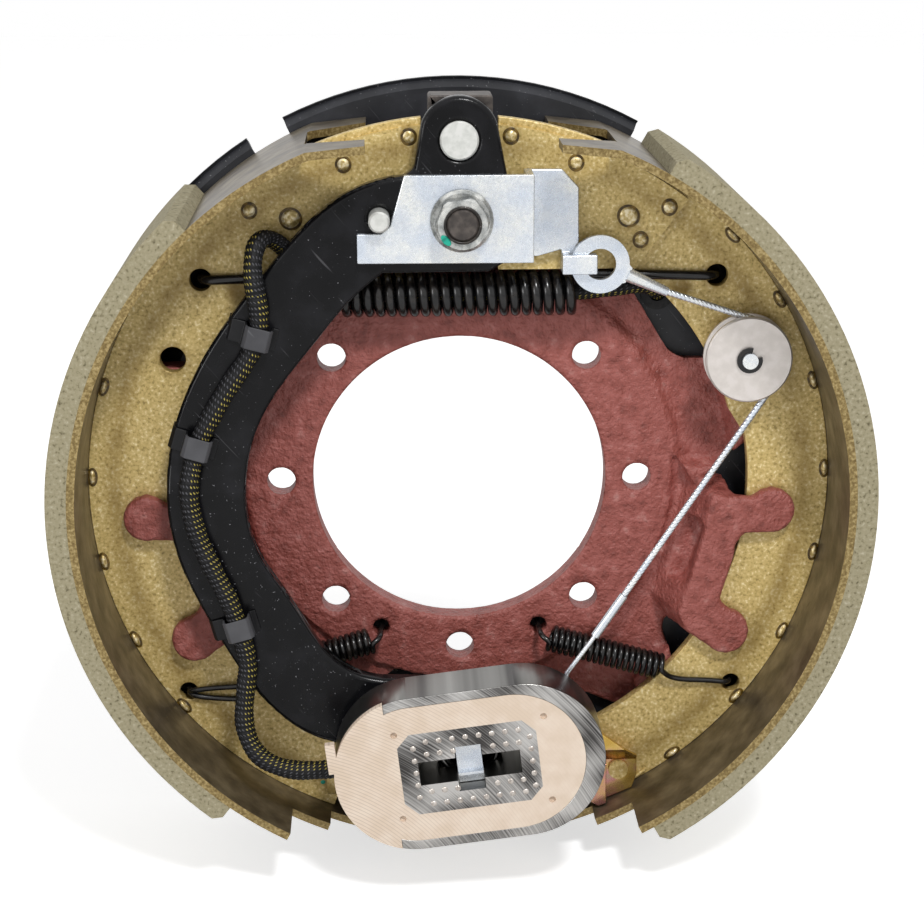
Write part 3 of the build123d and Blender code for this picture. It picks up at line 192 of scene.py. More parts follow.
# %% The two free wires behind the shield
UPPER_TAIL = (
    (0.0770, 0.0045, 0.0740), (0.0770, 0.0125, 0.0740), (0.0788, 0.0205, 0.0700),
    (0.0825, 0.0258, 0.0610), (0.0862, 0.0276, 0.0490), (0.0892, 0.0278, 0.0360),
    (0.0912, 0.0270, 0.0220), (0.0920, 0.0258, 0.0070), (0.0924, 0.0250, -0.0090),
    (0.0915, 0.0251, -0.0250), (0.0898, 0.0256, -0.0410), (0.0884, 0.0266, -0.0570),
    (0.0882, 0.0278, -0.0720), (0.0889, 0.0286, -0.0860))
LOWER_TAIL = (
    (0.0770, 0.0045, 0.0710), (0.0770, 0.0110, 0.0710), (0.0762, 0.0185, 0.0672),
    (0.0772, 0.0240, 0.0585), (0.0802, 0.0262, 0.0475), (0.0840, 0.0266, 0.0350),
    (0.0868, 0.0260, 0.0210), (0.0880, 0.0250, 0.0060), (0.0885, 0.0242, -0.0100),
    (0.0874, 0.0240, -0.0260), (0.0854, 0.0246, -0.0420), (0.0839, 0.0260, -0.0565),
    (0.0841, 0.0275, -0.0695), (0.0854, 0.0284, -0.0800))
WIRE_RADIUS, WIRE_SIDES, TAIL_STEP = 0.0013, 20, 0.0015

tails = {}
for name, points, length in (("upper_tail_wire", UPPER_TAIL, 0.177), ("lower_tail_wire", LOWER_TAIL, 0.165)):
    line = evenly(route_points(name + "_route", points), TAIL_STEP)
    tail = wire(line, WIRE_RADIUS, name, WIRE_SIDES)
    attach(tail, "backing")
    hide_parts("upper_lead_tail" if name.startswith("upper") else "lower_lead_tail")
    tails[name] = tail
print("free wires:", sorted(tails))

# %% [markdown]
# The sleeve is a braid: flat yarns cross over and under each other round the tube. Two families of
# spirals, one each way, multiply into a field of small pillows, and that height is real geometry here,
# because the edge of the sleeve shows it. Eight yarns each way at a 3.4 mm pitch give the real grain.

# %% Routes and braid of the sleeve
SLEEVE_ON_ARM = (
    (-0.0756, -0.0418, 0.0810), (-0.0739, -0.0418, 0.0710), (-0.0777, -0.0418, 0.0589),
    (-0.0885, -0.0418, 0.0438), (-0.0980, -0.0418, 0.0274), (-0.1009, -0.0418, 0.0180),
    (-0.1029, -0.0448, 0.0080), (-0.1023, -0.0448, -0.0015), (-0.0999, -0.0448, -0.0115),
    (-0.0940, -0.0448, -0.0257), (-0.0877, -0.0448, -0.0399), (-0.0848, -0.0448, -0.0510))
SLEEVE_LOOP = (
    (-0.0756, -0.0418, 0.0810), (-0.0773, -0.0418, 0.0910), (-0.0750, -0.0350, 0.1010),
    (-0.0680, -0.02655, 0.0985), (-0.0605, -0.02655, 0.0885), (-0.0540, -0.02615, 0.0775),
    (-0.0445, -0.0200, 0.0760), (-0.0310, -0.0186, 0.0764), (-0.0050, -0.0188, 0.0761),
    (0.0210, -0.0185, 0.0765), (0.0440, -0.0188, 0.0763), (0.0570, -0.0184, 0.0772),
    (0.0690, -0.0154, 0.0782), (0.0760, -0.0100, 0.0756), (0.0770, -0.0046, 0.0725),
    (0.0770, 0.0045, 0.0725))
SLEEVE_TO_MAGNET = (
    (-0.0848, -0.0448, -0.0510), (-0.08219, -0.0448, -0.06099), (-0.0842, -0.0454, -0.0740),
    (-0.0850, -0.0468, -0.0880), (-0.0800, -0.0492, -0.0995), (-0.0690, -0.0512, -0.1042),
    (-0.0560, -0.0522, -0.1040), (-0.0465, -0.0523, -0.1029))
SLEEVE_RADIUS, LOOP_RADIUS, SHRINK_RUN = 0.0037, 0.0031, 0.05
BRAID_PITCH, CARRIERS = 0.0034, 8
YARN_SINK, YARN_RISE = 0.0005, 0.0006
BULGE, BULGE_TURN, SWAY, SWAY_TURN = 0.00012, 410.0, 0.0001, 173.0


def braid(along, angle):
    """Height of the braid's pillows, from 0 in the gaps to 1 on a yarn's back."""
    climb = along * 2 * math.pi / BRAID_PITCH
    one_way = np.cos(CARRIERS * angle + climb)
    other_way = np.cos(CARRIERS * angle - climb)
    return 0.5 + 0.5 * one_way * other_way


def sleeve_size(along, angle):
    """Radius of the sleeve: pillows of yarn on a tube that is a little slack."""
    slack = BULGE * np.sin(along * BULGE_TURN) + SWAY * np.sin(along * SWAY_TURN + angle)
    return SLEEVE_RADIUS - YARN_SINK + YARN_RISE * braid(along, angle) + slack


def loop_size(along, angle):
    """The same sleeve, which grows thinner before it enters the spring."""
    shrink = np.clip(along / SHRINK_RUN, 0.0, 1.0) * (SLEEVE_RADIUS - LOOP_RADIUS)
    return sleeve_size(along, angle) - shrink


print("braid of", 2 * CARRIERS, "yarns")

# %% [markdown]
# The stretch that is clipped to the arm rides with it. The loop over the arm's top runs between the arm
# and the backing, and the slack stretch at the bottom between the arm and the magnet.

# %% The sleeve's three stretches
SLEEVE_STEP, SLEEVE_SIDES = 0.00045, 48
sleeves = {}
for name, route, size in (
        ("sleeve_on_arm", SLEEVE_ON_ARM, sleeve_size), ("sleeve_loop", SLEEVE_LOOP, loop_size),
        ("sleeve_to_magnet", SLEEVE_TO_MAGNET, sleeve_size)):
    line = evenly(route_points(name + "_route", route), SLEEVE_STEP)
    sleeves[name] = tube(name, line, SLEEVE_SIDES, size)
    print(name, "is", round(len(line) * SLEEVE_STEP * 1000), "mm long")
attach(sleeves["sleeve_on_arm"], "arm")
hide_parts("lead_on_arm")
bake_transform(sleeves["sleeve_loop"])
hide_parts("lead_loop")
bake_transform(sleeves["sleeve_to_magnet"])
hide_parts("magnet_lead")

# %% [markdown]
# The adjuster's wire rope has six outer strands twisted round a core, which shows as slanting ribs. So
# the ring that is swept along it has six leaves, and turns as it goes.

# %% Strands of the rope
ROPE_RADIUS, STRANDS, LAY_LENGTH = 0.00125, 6, 0.0105
STRAND_VALLEY, STRAND_RISE = 0.80, 0.22


def strands(along, angle):
    """Six bulges that turn once round the rope in one lay length."""
    leaf = np.abs(np.cos(0.5 * STRANDS * (angle - along * 2 * math.pi / LAY_LENGTH)))
    return ROPE_RADIUS * (STRAND_VALLEY + STRAND_RISE * leaf)


print("rope of", STRANDS, "strands")

# %% [markdown]
# The rope leaves the eye, bends round the pulley and drops to the ferrule. Its control points are the
# ends of the two straight runs and the corners of the wrap, so the curve hugs the pulley's groove. It
# crosses three joints, so it is cut in three: from the eye to most of the way along its first run, from
# there round the pulley, and from the pulley to the ferrule. The strands' phase carries on from one
# stretch to the next.

# %% The rope's three stretches
ROPE_ROUTE = (
    (0.0778, -0.0270, 0.0776), (0.1094, -0.02655, 0.06712), (0.11819, -0.0265, 0.0642),
    (0.1237, -0.0265, 0.05675), (0.1239, -0.0265, 0.04749), (0.11873, -0.0265, 0.03981),
    (0.0634, -0.0294, -0.0424))
ROPE_STEP, ROPE_SIDES = 0.0004, 30
PULLEY_CENTRE, WRAP_REACH = (0.1092, 0.0518), 0.0150
HANDOVER = 0.8
rope_line = evenly(route_points("rope_route", ROPE_ROUTE), ROPE_STEP)
from_pulley = np.linalg.norm(rope_line[:, [0, 2]] - np.array(PULLEY_CENTRE), axis=1)
wrapped = np.nonzero(from_pulley < WRAP_REACH)[0]
split = int(HANDOVER * wrapped[0])
ropes = {
    "rope_from_eye": rope_line[:split + 1],
    "rope_round_pulley": rope_line[split:wrapped[-1] + 1],
    "rope_to_ferrule": rope_line[wrapped[-1]:]}
begun = 0.0
for name, line in ropes.items():
    rope = tube(name, line, ROPE_SIDES, strands, begun)
    begun += ROPE_STEP * (len(line) - 1)
    ropes[name] = rope
    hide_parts("adjuster_cable")
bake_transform(ropes["rope_from_eye"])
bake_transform(ropes["rope_round_pulley"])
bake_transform(ropes["rope_to_ferrule"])
print("rope runs", round(begun * 1000), "mm, wrapped over", round(len(wrapped) * ROPE_STEP * 1000), "mm")

# %% [markdown]
# A coil spring is one wire: a helix with its last turns bent out into hooks. The helix and the hook
# corners are the control points of one NURBS spline, which rounds every bend as a spring machine
# would. The wire is then the same sweep as before with a plain round ring.

# %% Helix of a coil
WIRE_STEP, POINTS_PER_TURN, FINE_SIDES = 0.0009, 20, 12


def helix(start, end, first, radius, turns):
    """Points of a coil from start to end; first is the side on which it begins."""
    start, end = Vector(start), Vector(end)
    axis = (end - start).normalized()
    side = Vector(first) - axis * Vector(first).dot(axis)
    side.normalize()
    other = axis.cross(side)
    points = []
    for step in range(int(turns * POINTS_PER_TURN) + 1):
        share = step / (turns * POINTS_PER_TURN)
        angle = 2 * math.pi * turns * share
        points.append(start.lerp(end, share) + (side * math.cos(angle) + other * math.sin(angle)) * radius)
    return points


def spring_line(name, points):
    """The smooth line of a bent wire, read from its NURBS spline."""
    return evenly(route_points(name + "_route", points), WIRE_STEP)


springs = {}
print("a coil has", POINTS_PER_TURN, "points a turn")

# %% [markdown]
# The return spring pulls the two shoes together. Its turns lie close, and each end hook drops through a
# hole in its web. It is cut at the middle into two halves.

# %% Return spring
RETURN_COIL, RETURN_WIRE, RETURN_TURNS = 0.00720, 0.00185, 21
HALF_COIL, COIL_DEPTH, COIL_HEIGHT = 0.044625, -0.0187, 0.0763
return_turns = helix((-HALF_COIL, COIL_DEPTH, COIL_HEIGHT), (HALF_COIL, COIL_DEPTH, COIL_HEIGHT),
                     (0, 0, 1), RETURN_COIL, RETURN_TURNS)
front_hook = [(-0.0976, -0.0140, 0.0825), (-0.0976, -0.0216, 0.0825), (-0.0856, -0.0216, 0.0829),
              (-0.0546, -0.0216, 0.08365)]
rear_hook = [(-x, y, z) for x, y, z in reversed(front_hook)]
whole = spring_line("return_spring", front_hook + return_turns + rear_hook)
middle = int(np.argmin(np.abs(whole[:, 0])))
springs["return_spring_front_half"] = wire(whole[:middle + 1], RETURN_WIRE, "return_spring_front_half")
springs["return_spring_rear_half"] = wire(whole[middle:], RETURN_WIRE, "return_spring_rear_half")
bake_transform(springs["return_spring_front_half"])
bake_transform(springs["return_spring_rear_half"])
for half in ("return_spring_front_half", "return_spring_rear_half"):
    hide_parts("return_spring")
print("return spring has", RETURN_TURNS, "turns")

# %% [markdown]
# Two short springs pull the shoes' lower ends towards the casting. They mirror each other, apart from
# the hairpin hook in which the front one ends.

# %% Lower springs
LOWER_COIL, LOWER_WIRE, LOWER_TURNS = 0.0045, 0.0011, 19
LOWER_START, LOWER_END = Vector((0.0356, -0.0156, -0.0648)), Vector((0.0798, -0.0205, -0.0760))
HOOK_IN = [(0.0311, 0.0045, -0.0615), (0.0315, -0.0135, -0.0615), (0.0321, -0.0185, -0.0627)]
HOOK_OUT = [(0.0845, -0.0227, -0.0805), (0.1002, -0.0212, -0.0818), (0.1082, -0.0212, -0.0830),
            (0.1082, -0.0140, -0.0834)]
HAIRPIN = [(0.1082, -0.0212, -0.0846), (0.0980, -0.0212, -0.0862), (0.0872, -0.0214, -0.0866)]
for side, name, shoe in ((-1, "front_lower_spring", "front_shoe"), (1, "rear_lower_spring", "rear_shoe")):
    coil = helix(LOWER_START, LOWER_END, (0, -1, 0), LOWER_COIL, LOWER_TURNS)
    line = spring_line(name, HOOK_IN + coil + HOOK_OUT + (HAIRPIN if side < 0 else []))
    line[:, 0] *= side
    springs[name] = wire(line, LOWER_WIRE, name + "_wire", FINE_SIDES)
    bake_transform(springs[name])
    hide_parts(name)
print("lower springs have", LOWER_TURNS, "turns each")

# %% [markdown]
# The follower spring stands between the arm and the magnet and pushes the magnet to the drum.

# %% Follower spring
FOLLOWER_COIL, FOLLOWER_WIRE, FOLLOWER_TURNS = 0.011, 0.0009, 2.2
follower_turns = helix((0.0017, -0.0420, -0.0968), (0.0017, -0.0533, -0.0968), (1, 0, 0),
                       FOLLOWER_COIL, FOLLOWER_TURNS)
follower = wire(spring_line("magnet_spring", follower_turns), FOLLOWER_WIRE, "magnet_spring", FINE_SIDES)
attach(follower, "arm")
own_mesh(follower)
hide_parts("follower_spring")
springs["magnet_spring"] = follower
print("springs:", {name: len(spring.data.polygons) for name, spring in springs.items()})

# %% [markdown]
# Pressed and blanked plates never have knife edges. Weld joins the model's split faces, a planar
# dissolve clears the triangles off its flats, and a bevel then rolls the edges over by the radius
# that a worn blanking die leaves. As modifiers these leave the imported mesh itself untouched.

# %% Soften the edges of the plates
MERGE_DISTANCE, FLAT_WITHIN, EDGE_FROM = 0.000002, math.radians(0.6), math.radians(38)


def modify(piece, name, kind, **settings):
    """Add one modifier to a piece, with its settings."""
    modifier = piece.modifiers.new(name, kind)
    for setting, value in settings.items():
        setattr(modifier, setting, value)


def soften(name, width):
    """Round the sharp edges of a CAD node by a width in metres."""
    piece = nodes[name]
    modify(piece, "weld", "WELD", merge_threshold=MERGE_DISTANCE)
    modify(piece, "flats", "DECIMATE", decimate_type="DISSOLVE", angle_limit=FLAT_WITHIN)
    modify(piece, "edges", "BEVEL", width=width, segments=3, limit_method="ANGLE", angle_limit=EDGE_FROM,
           use_clamp_overlap=False, harden_normals=True)


PLATES = {
    "magnet_arm": 0.0019, "cable_bracket": 0.0005, "front_shoe_web": 0.0004, "rear_shoe_web": 0.0004,
    "adjuster_lever": 0.0004, "cam_block": 0.0006, "magnet_case": 0.0004}
for name, width in PLATES.items():
    soften(name, width)
print("softened", sorted(PLATES))

# %% [markdown]
# The spider is a sand casting: every inner and outer corner is round and the skin is pebbled by the
# sand. Remeshing the solid into small even faces gives it vertices everywhere, so that smoothing can
# round all corners at once and a cloud noise can push the skin in and out.

# %% Even faces for the casting
VOXEL, SPLIT_GAP = 0.00115, 0.000005


def finished(source, name):
    """A new object whose mesh is another object's mesh with its modifiers applied."""
    graph = bpy.context.evaluated_depsgraph_get()
    made = put(name, bpy.data.meshes.new_from_object(source.evaluated_get(graph)))
    bpy.data.objects.remove(source)
    return made


solid = put("casting_solid", nodes["spider"].data.copy())
modify(solid, "weld", "WELD", merge_threshold=SPLIT_GAP)
modify(solid, "even", "REMESH", mode="VOXEL", voxel_size=VOXEL)
rough = finished(solid, "rough_casting")
print("even casting has", len(rough.data.polygons), "faces")

# %% [markdown]
# The bolt flange stands up as a round disc, and the skin falls off beside it before it rises again to
# the fingers. Between the disc and the shoes, apart from the anchor boss, the skin is pushed back to
# those two levels, with a round shoulder from one to the other.

# %% Disc and lower skin
DISC_RADIUS, SHOULDER, DISC_FACE, LOW_FACE = 0.0868, 0.0042, -0.0098, -0.0066
SHOE_EDGE, FINGERS_TOP, BOSS_HALF, BOSS_FOOT = 0.1075, 0.006, 0.030, 0.078


def points_of(piece):
    """All points of a mesh as rows of x, y, z."""
    rows = np.empty(len(piece.data.vertices) * 3, np.float32)
    piece.data.vertices.foreach_get("co", rows)
    return rows.reshape(-1, 3)


rows = points_of(rough)
from_axis = np.hypot(rows[:, 0], rows[:, 2])
beside = (rows[:, 2] > FINGERS_TOP) & (from_axis < SHOE_EDGE)
beside &= (np.abs(rows[:, 0]) > BOSS_HALF) | (rows[:, 2] < BOSS_FOOT)
share = np.clip((from_axis - DISC_RADIUS) / SHOULDER + 0.5, 0.0, 1.0)
share = share * share * (3.0 - 2.0 * share)
level = DISC_FACE + (LOW_FACE - DISC_FACE) * share
rows[beside, 1] = np.maximum(rows[beside, 1], level[beside])
rough.data.vertices.foreach_set("co", rows.ravel())
print("pushed back the skin over", int(beside.sum()), "points")

# %% [markdown]
# Smoothing rounds every corner at once, as a worn wooden pattern does. The sand then leaves pebbles
# about 2 mm wide, and the mould a slower swell of a centimetre or so.

# %% Sand skin
SAND = (("sand_pebbles", 0.0023, 0.00042), ("mould_swell", 0.012, 0.00050))
modify(rough, "worn", "SMOOTH", factor=0.5, iterations=4)
for name, size, depth in SAND:
    clouds = bpy.data.textures.new(name, "CLOUDS")
    clouds.noise_scale = size
    clouds.noise_depth = 1
    modify(rough, name, "DISPLACE", texture=clouds, texture_coords="LOCAL", strength=depth, mid_level=0.5)
casting = finished(rough, "spider_casting")
print("sand skin over", len(casting.data.vertices), "points")

# %% [markdown]
# Drilling comes after casting on the real one, so the points round each hole are put back on its true
# circle at the very end, which keeps the holes crisp.

# %% Drilled holes
BOLT_CIRCLE, BOLT_HOLE, BORE, SPRING_HOLE = 0.06985, 0.0056, 0.0575, 0.0034
SPRING_HOLES = ((-0.0315, -0.0615), (0.0315, -0.0615))
BOLTS, FIRST_BOLT, BOLT_STEP = 7, 135, 45
SNAP = 0.8 * VOXEL
holes = [(0.0, 0.0, BORE)] + [(x, z, SPRING_HOLE) for x, z in SPRING_HOLES]
for index in range(BOLTS):
    angle = math.radians(FIRST_BOLT + BOLT_STEP * index)
    holes.append((BOLT_CIRCLE * math.cos(angle), BOLT_CIRCLE * math.sin(angle), BOLT_HOLE))
rows = points_of(casting)
for x, z, radius in holes:
    across = rows[:, [0, 2]] - np.array((x, z))
    away = np.linalg.norm(across, axis=1)
    near = np.abs(away - radius) < SNAP
    rows[near, 0] = x + across[near, 0] * radius / away[near]
    rows[near, 2] = z + across[near, 1] * radius / away[near]
casting.data.vertices.foreach_set("co", rows.ravel())
casting.data.update()
casting.data.polygons.foreach_set("use_smooth", [True] * len(casting.data.polygons))
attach(casting, "backing")
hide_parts("spider")
print("casting has", len(holes), "drilled holes")

# %% [markdown]
# Each sleeve clip is a strip of sheet steel: a small foot, a flat roof over the sleeve, and a tail that
# lies on the arm and folds round its edge. The strip is its side profile drawn as a line, swept along
# the sleeve, with Solidify for the sheet and Bevel for the folds. A place is the strap's middle, its
# slant in degrees and how far its tail reaches.

# %% Clip straps
CLIP_PLACES = ((-0.0756, -0.0380, 0.0650, -105.0, 0.0102), (-0.0992, -0.0380, 0.0234, -107.1, 0.0092),
               (-0.0856, -0.0410, -0.0475, -75.0, 0.0096))
STRAP_HALF, STRAP_SHEET, FOLD_RADIUS = 0.0042, 0.0009, 0.0003
FOOT_AND_ROOF = ((-0.0072, 0.0006), (-0.0049, 0.0006), (-0.0047, 0.0068), (-0.0038, 0.0081),
                 (0.0036, 0.0083), (0.0048, 0.0070), (0.0052, 0.0012))
verts, faces = [], []
for x, y, z, slant, reach in CLIP_PLACES:
    turn = math.radians(slant)
    along = Vector((math.cos(turn), 0.0, math.sin(turn)))
    outward = Vector((math.sin(turn), 0.0, -math.cos(turn)))
    profile = FOOT_AND_ROOF + ((reach, 0.0007), (reach + 0.0012, -0.0012), (reach + 0.0013, -0.0075))
    first = len(verts)
    for across, rise in profile:
        for end in (-STRAP_HALF, STRAP_HALF):
            verts.append(Vector((x, y - rise, z)) + outward * across + along * end)
    for step in range(len(profile) - 1):
        a = first + 2 * step
        faces.append((a, a + 1, a + 3, a + 2))
mesh = bpy.data.meshes.new("clip_straps")
mesh.from_pydata([tuple(vert) for vert in verts], [], faces)
straps = put("clip_straps", mesh)
modify(straps, "sheet", "SOLIDIFY", thickness=STRAP_SHEET, offset=0.0)
modify(straps, "folds", "BEVEL", width=FOLD_RADIUS, segments=2, limit_method="ANGLE")
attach(straps, "arm")
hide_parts("wire_clips")
print("made", len(CLIP_PLACES), "straps")

# %% [markdown]
# Small raised marks give scale: weld buttons, weld beads, dots pressed into the magnet's pole and dabs
# of paint. Each is a low dome, so one helper makes caps of any width, height and slant, closed at the
# back so that each stays a solid.

# %% Low domes
RINGS, SPOKES = 6, 28


def domes(name, caps, body):
    """Low domes facing the open side. A cap is (x, y, z, half length, half width, rise, slant), in mm."""
    verts, faces = [], []
    for x, y, z, length, width, rise, slant in caps:
        base = len(verts)
        turn = math.radians(slant)
        for ring in range(RINGS):
            share = math.cos(0.5 * math.pi * ring / RINGS)
            lift = math.sin(0.5 * math.pi * ring / RINGS)
            for spoke in range(SPOKES):
                angle = 2 * math.pi * spoke / SPOKES
                along, across = length * share * math.cos(angle), width * share * math.sin(angle)
                verts.append((x + along * math.cos(turn) - across * math.sin(turn), y - rise * lift,
                              z + along * math.sin(turn) + across * math.cos(turn)))
        verts.append((x, y - rise, z))
        for ring in range(RINGS - 1):
            for spoke in range(SPOKES):
                a = base + ring * SPOKES + spoke
                b = base + ring * SPOKES + (spoke + 1) % SPOKES
                faces.append((a, b, b + SPOKES, a + SPOKES))
        last = base + (RINGS - 1) * SPOKES
        for spoke in range(SPOKES):
            faces.append((last + spoke, last + (spoke + 1) % SPOKES, base + RINGS * SPOKES))
        faces.append(tuple(base + spoke for spoke in range(SPOKES - 1, -1, -1)))
    mesh = bpy.data.meshes.new(name)
    mesh.from_pydata([tuple(v / 1000 for v in vert) for vert in verts], [], faces)
    mesh.polygons.foreach_set("use_smooth", [len(face) < 5 for face in faces])
    mesh.update()
    made = put(name, mesh)
    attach(made, body)
    return made


print("a dome has", RINGS * SPOKES + 1, "points")

# %% [markdown]
# Five buttons hold each doubler to its web, and a row of short beads joins web and table. The heat has
# burnt the plating amber round each of them, so a lower and wider dome lies under every mark. Buttons
# are x, z and radius in millimetres, and beads are angles round the shoe.

# %% Weld buttons, beads and burns
DOUBLER_FACE, WEB_FACE = -22.9, -19.9
BUTTONS = ((78.4, 109.0, 2.3), (63.1, 105.8, 3.5), (67.8, 96.8, 2.3), (43.2, 125.9, 2.3), (18.9, 135.9, 2.3))
FRONT_BEADS = (163.0, 177.7, 191.6, 205.5, 219.1)
REAR_BEADS = (43.5, 30.9, 16.8, 2.3, -11.6, -25.7, -38.9, -53.1)
BEAD_RADIUS = 142.0
BUTTON_RISE, BEAD_RISE, BURN_RISE, BURN_WIDTH = 1.0, 1.5, 0.35, 1.2
buttons, beads, burns = {}, {}, {}
for side, shoe in ((-1, "front"), (1, "rear")):
    caps, rings = [], []
    for x, z, r in BUTTONS:
        caps.append((side * x, DOUBLER_FACE, z, r, r, BUTTON_RISE, 0.0))
        rings.append((side * x, DOUBLER_FACE, z, r + BURN_WIDTH, r + BURN_WIDTH * 0.8, BURN_RISE, 40.0 * r))
    buttons[shoe] = domes(shoe + "_weld_buttons", caps, shoe + "_shoe")
    caps = []
    for angle in (FRONT_BEADS if side < 0 else REAR_BEADS):
        turn = math.radians(angle)
        x, z = BEAD_RADIUS * math.cos(turn), BEAD_RADIUS * math.sin(turn)
        caps.append((x, WEB_FACE, z, 2.8, 1.2, BEAD_RISE, angle + 90))
        rings.append((x, WEB_FACE, z, 4.0, 2.2, BURN_RISE, angle + 90))
    beads[shoe] = domes(shoe + "_weld_beads", caps, shoe + "_shoe")
    burns[shoe] = domes(shoe + "_weld_burns", rings, shoe + "_shoe")
print("welds:", len(BUTTONS) * 2, "buttons and", len(FRONT_BEADS + REAR_BEADS), "beads")

# %% [markdown]
# Rows of dots are pressed into the magnet's pole round its slot. The magnet is tilted by seven degrees,
# so the rows are laid out square and then turned. All measures are in millimetres.

# %% Pole dots
TILT, DOT_PITCH, DOT_RADIUS, DOT_RISE = math.radians(7.0), 5.05, 1.15, 0.5
POLE_FACE, POLE_X, POLE_Z = -68.15, 1.7, -96.8
dots = [(-15.5 + DOT_PITCH * i, z) for i in range(8) for z in (12.8, -12.8)]
dots += [(x, z) for x in (-15.7, -10.7, -5.6, 9.6, 14.6, 19.5) for z in (7.7, -7.7)]
dots += [(-20.5, 10.6 - DOT_PITCH * i) for i in range(5)] + [(23.9, 9.5 - DOT_PITCH * i) for i in range(5)]
caps = []
for along, across in dots:
    x = POLE_X + along * math.cos(TILT) - across * math.sin(TILT)
    z = POLE_Z + along * math.sin(TILT) + across * math.cos(TILT)
    caps.append((x, POLE_FACE, z, DOT_RADIUS, DOT_RADIUS, DOT_RISE, 0.0))
pole_dots = domes("pole_dots", caps, "magnet")
print("pressed", len(dots), "dots")

# %% [markdown]
# An inspector's dab of green paint sits on the anchor nut and a smaller one on the front web. A dark
# ring round the stud is painted shade for the nut's countersink. Each of the two spring holes in the
# casting gets a thin dark sheet at its back, as painted shade inside the hole.

# %% Paint dabs, and painted shade round the stud and in the holes
dab_on_nut = domes("dab_on_nut", [(-6.1, -51.55, 102.2, 2.4, 1.35, 0.25, -48.0)], "backing")
dab_on_web = domes("dab_on_web", [(-55.8, WEB_FACE, -123.8, 1.4, 1.2, 0.15, 10.0)],
                   "front_shoe")
# Painted shade: a thin dark sheet at the back of each spring hole.
hole_shade_sheets = domes("spring_hole_painted_shade",
                   [(x * 1000, -1.0, z * 1000, 3.6, 3.6, 0.2, 0.0) for x, z in SPRING_HOLES],
                   "backing")
# Painted shade: a dark wire ring round the stud stands for the nut's countersink.
RING_RADIUS, RING_WIRE, NUT_FACE, STUD_HEIGHT = 0.0064, 0.00055, -0.0520, 0.1077
ring_turns = [math.radians(degrees) for degrees in range(0, 361, 6)]
ring_line = [(RING_RADIUS * math.cos(turn), NUT_FACE, STUD_HEIGHT + RING_RADIUS * math.sin(turn))
             for turn in ring_turns]
countersink_shade = wire(np.array(ring_line), RING_WIRE, "nut_countersink_painted_shade", 10)
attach(countersink_shade, "backing")
print("added two dabs, a ring and", len(SPRING_HOLES), "hole backs")

# %% [markdown]
# A material is a small network of nodes. One helper turns a screen colour into the linear one that
# light needs, and one adds a node with its settings and links. Sums and painted-over colours come up
# in every recipe, so each has a short form, and the last helper starts a material with its shader.

# %% Colour and node helpers
finishes = {}


def linear(code):
    """An sRGB hex colour as linear RGBA."""
    shares = [int(code[i:i + 2], 16) / 255 for i in (1, 3, 5)]
    return tuple(c / 12.92 if c <= 0.04045 else ((c + 0.055) / 1.055) ** 2.4 for c in shares) + (1.0,)


def add(tree, kind, inputs=(), **settings):
    """One shader node. An input is a value, a hex colour, an output, or a node for its first output."""
    node = tree.nodes.new("ShaderNode" + kind)
    for name, value in settings.items():
        setattr(node, name, value)
    for socket, value in dict(inputs).items():
        if isinstance(value, str):
            value = linear(value)
        if isinstance(value, bpy.types.Node):
            value = value.outputs[0]
        if isinstance(value, bpy.types.NodeSocket):
            tree.links.new(value, node.inputs[socket])
        else:
            node.inputs[socket].default_value = value
    return node


def maths(tree, operation, *values, **settings):
    """A math node that works on values or other nodes."""
    return add(tree, "Math", dict(enumerate(values)), operation=operation, **settings)


def paint_over(tree, mask, under, over):
    """The colour over where the mask is 1, and under where it is 0."""
    return add(tree, "Mix", {0: mask, 6: under, 7: over}, data_type="RGBA").outputs[2]


def new_finish(slot, name, sockets):
    """A slot's material, named for what it is, with constants set on its surface shader."""
    material = bpy.data.materials.new(name)
    material.use_nodes = True
    tree = material.node_tree
    tree.nodes.clear()
    surface = add(tree, "BsdfPrincipled", sockets)
    add(tree, "OutputMaterial", {"Surface": surface})
    finishes[slot] = material
    print("mixing", name)
    return tree, surface, add(tree, "TexCoord").outputs["Object"]


print("ready to add nodes")

# %% [markdown]
# Three more helpers make what several finishes share: tones that drift in patches, a coat of colour
# with a fine relief, and which way the surface points. Positions are read in metres, so 1 / width is
# the scale of a pattern.

# %% Shared recipes
def patches(tree, place, width, codes, low=0.38, high=0.62):
    """Colour that drifts through hex colours in patches about width metres wide."""
    noise = add(tree, "TexNoise", {"Vector": place, "Scale": 1 / width, "Detail": 4.0})
    ramp = add(tree, "ValToRGB", {"Fac": noise.outputs["Fac"]})
    stops = ramp.color_ramp.elements
    for index, code in enumerate(codes):
        at = low + (high - low) * index / (len(codes) - 1)
        stop = stops[index] if index < 2 else stops.new(at)
        stop.position = at
        stop.color = linear(code)
    return ramp.outputs["Color"]


def squarely(tree):
    """How squarely the surface faces front or back, from 0 side on to 1 face on."""
    normal = add(tree, "SeparateXYZ", {"Vector": add(tree, "TexCoord").outputs["Normal"]})
    return maths(tree, "ABSOLUTE", normal.outputs["Y"])


def coat(tree, surface, place, colour, width, depth):
    """Colour, with a relief of a given grain width and depth in metres."""
    tree.links.new(colour, surface.inputs["Base Color"])
    grain = add(tree, "TexNoise", {"Vector": place, "Scale": 1 / width, "Detail": 3.0})
    relief = add(tree, "Bump", {"Height": grain.outputs["Fac"], "Distance": depth})
    tree.links.new(relief.outputs["Normal"], surface.inputs["Normal"])


print("ready to mix finishes")
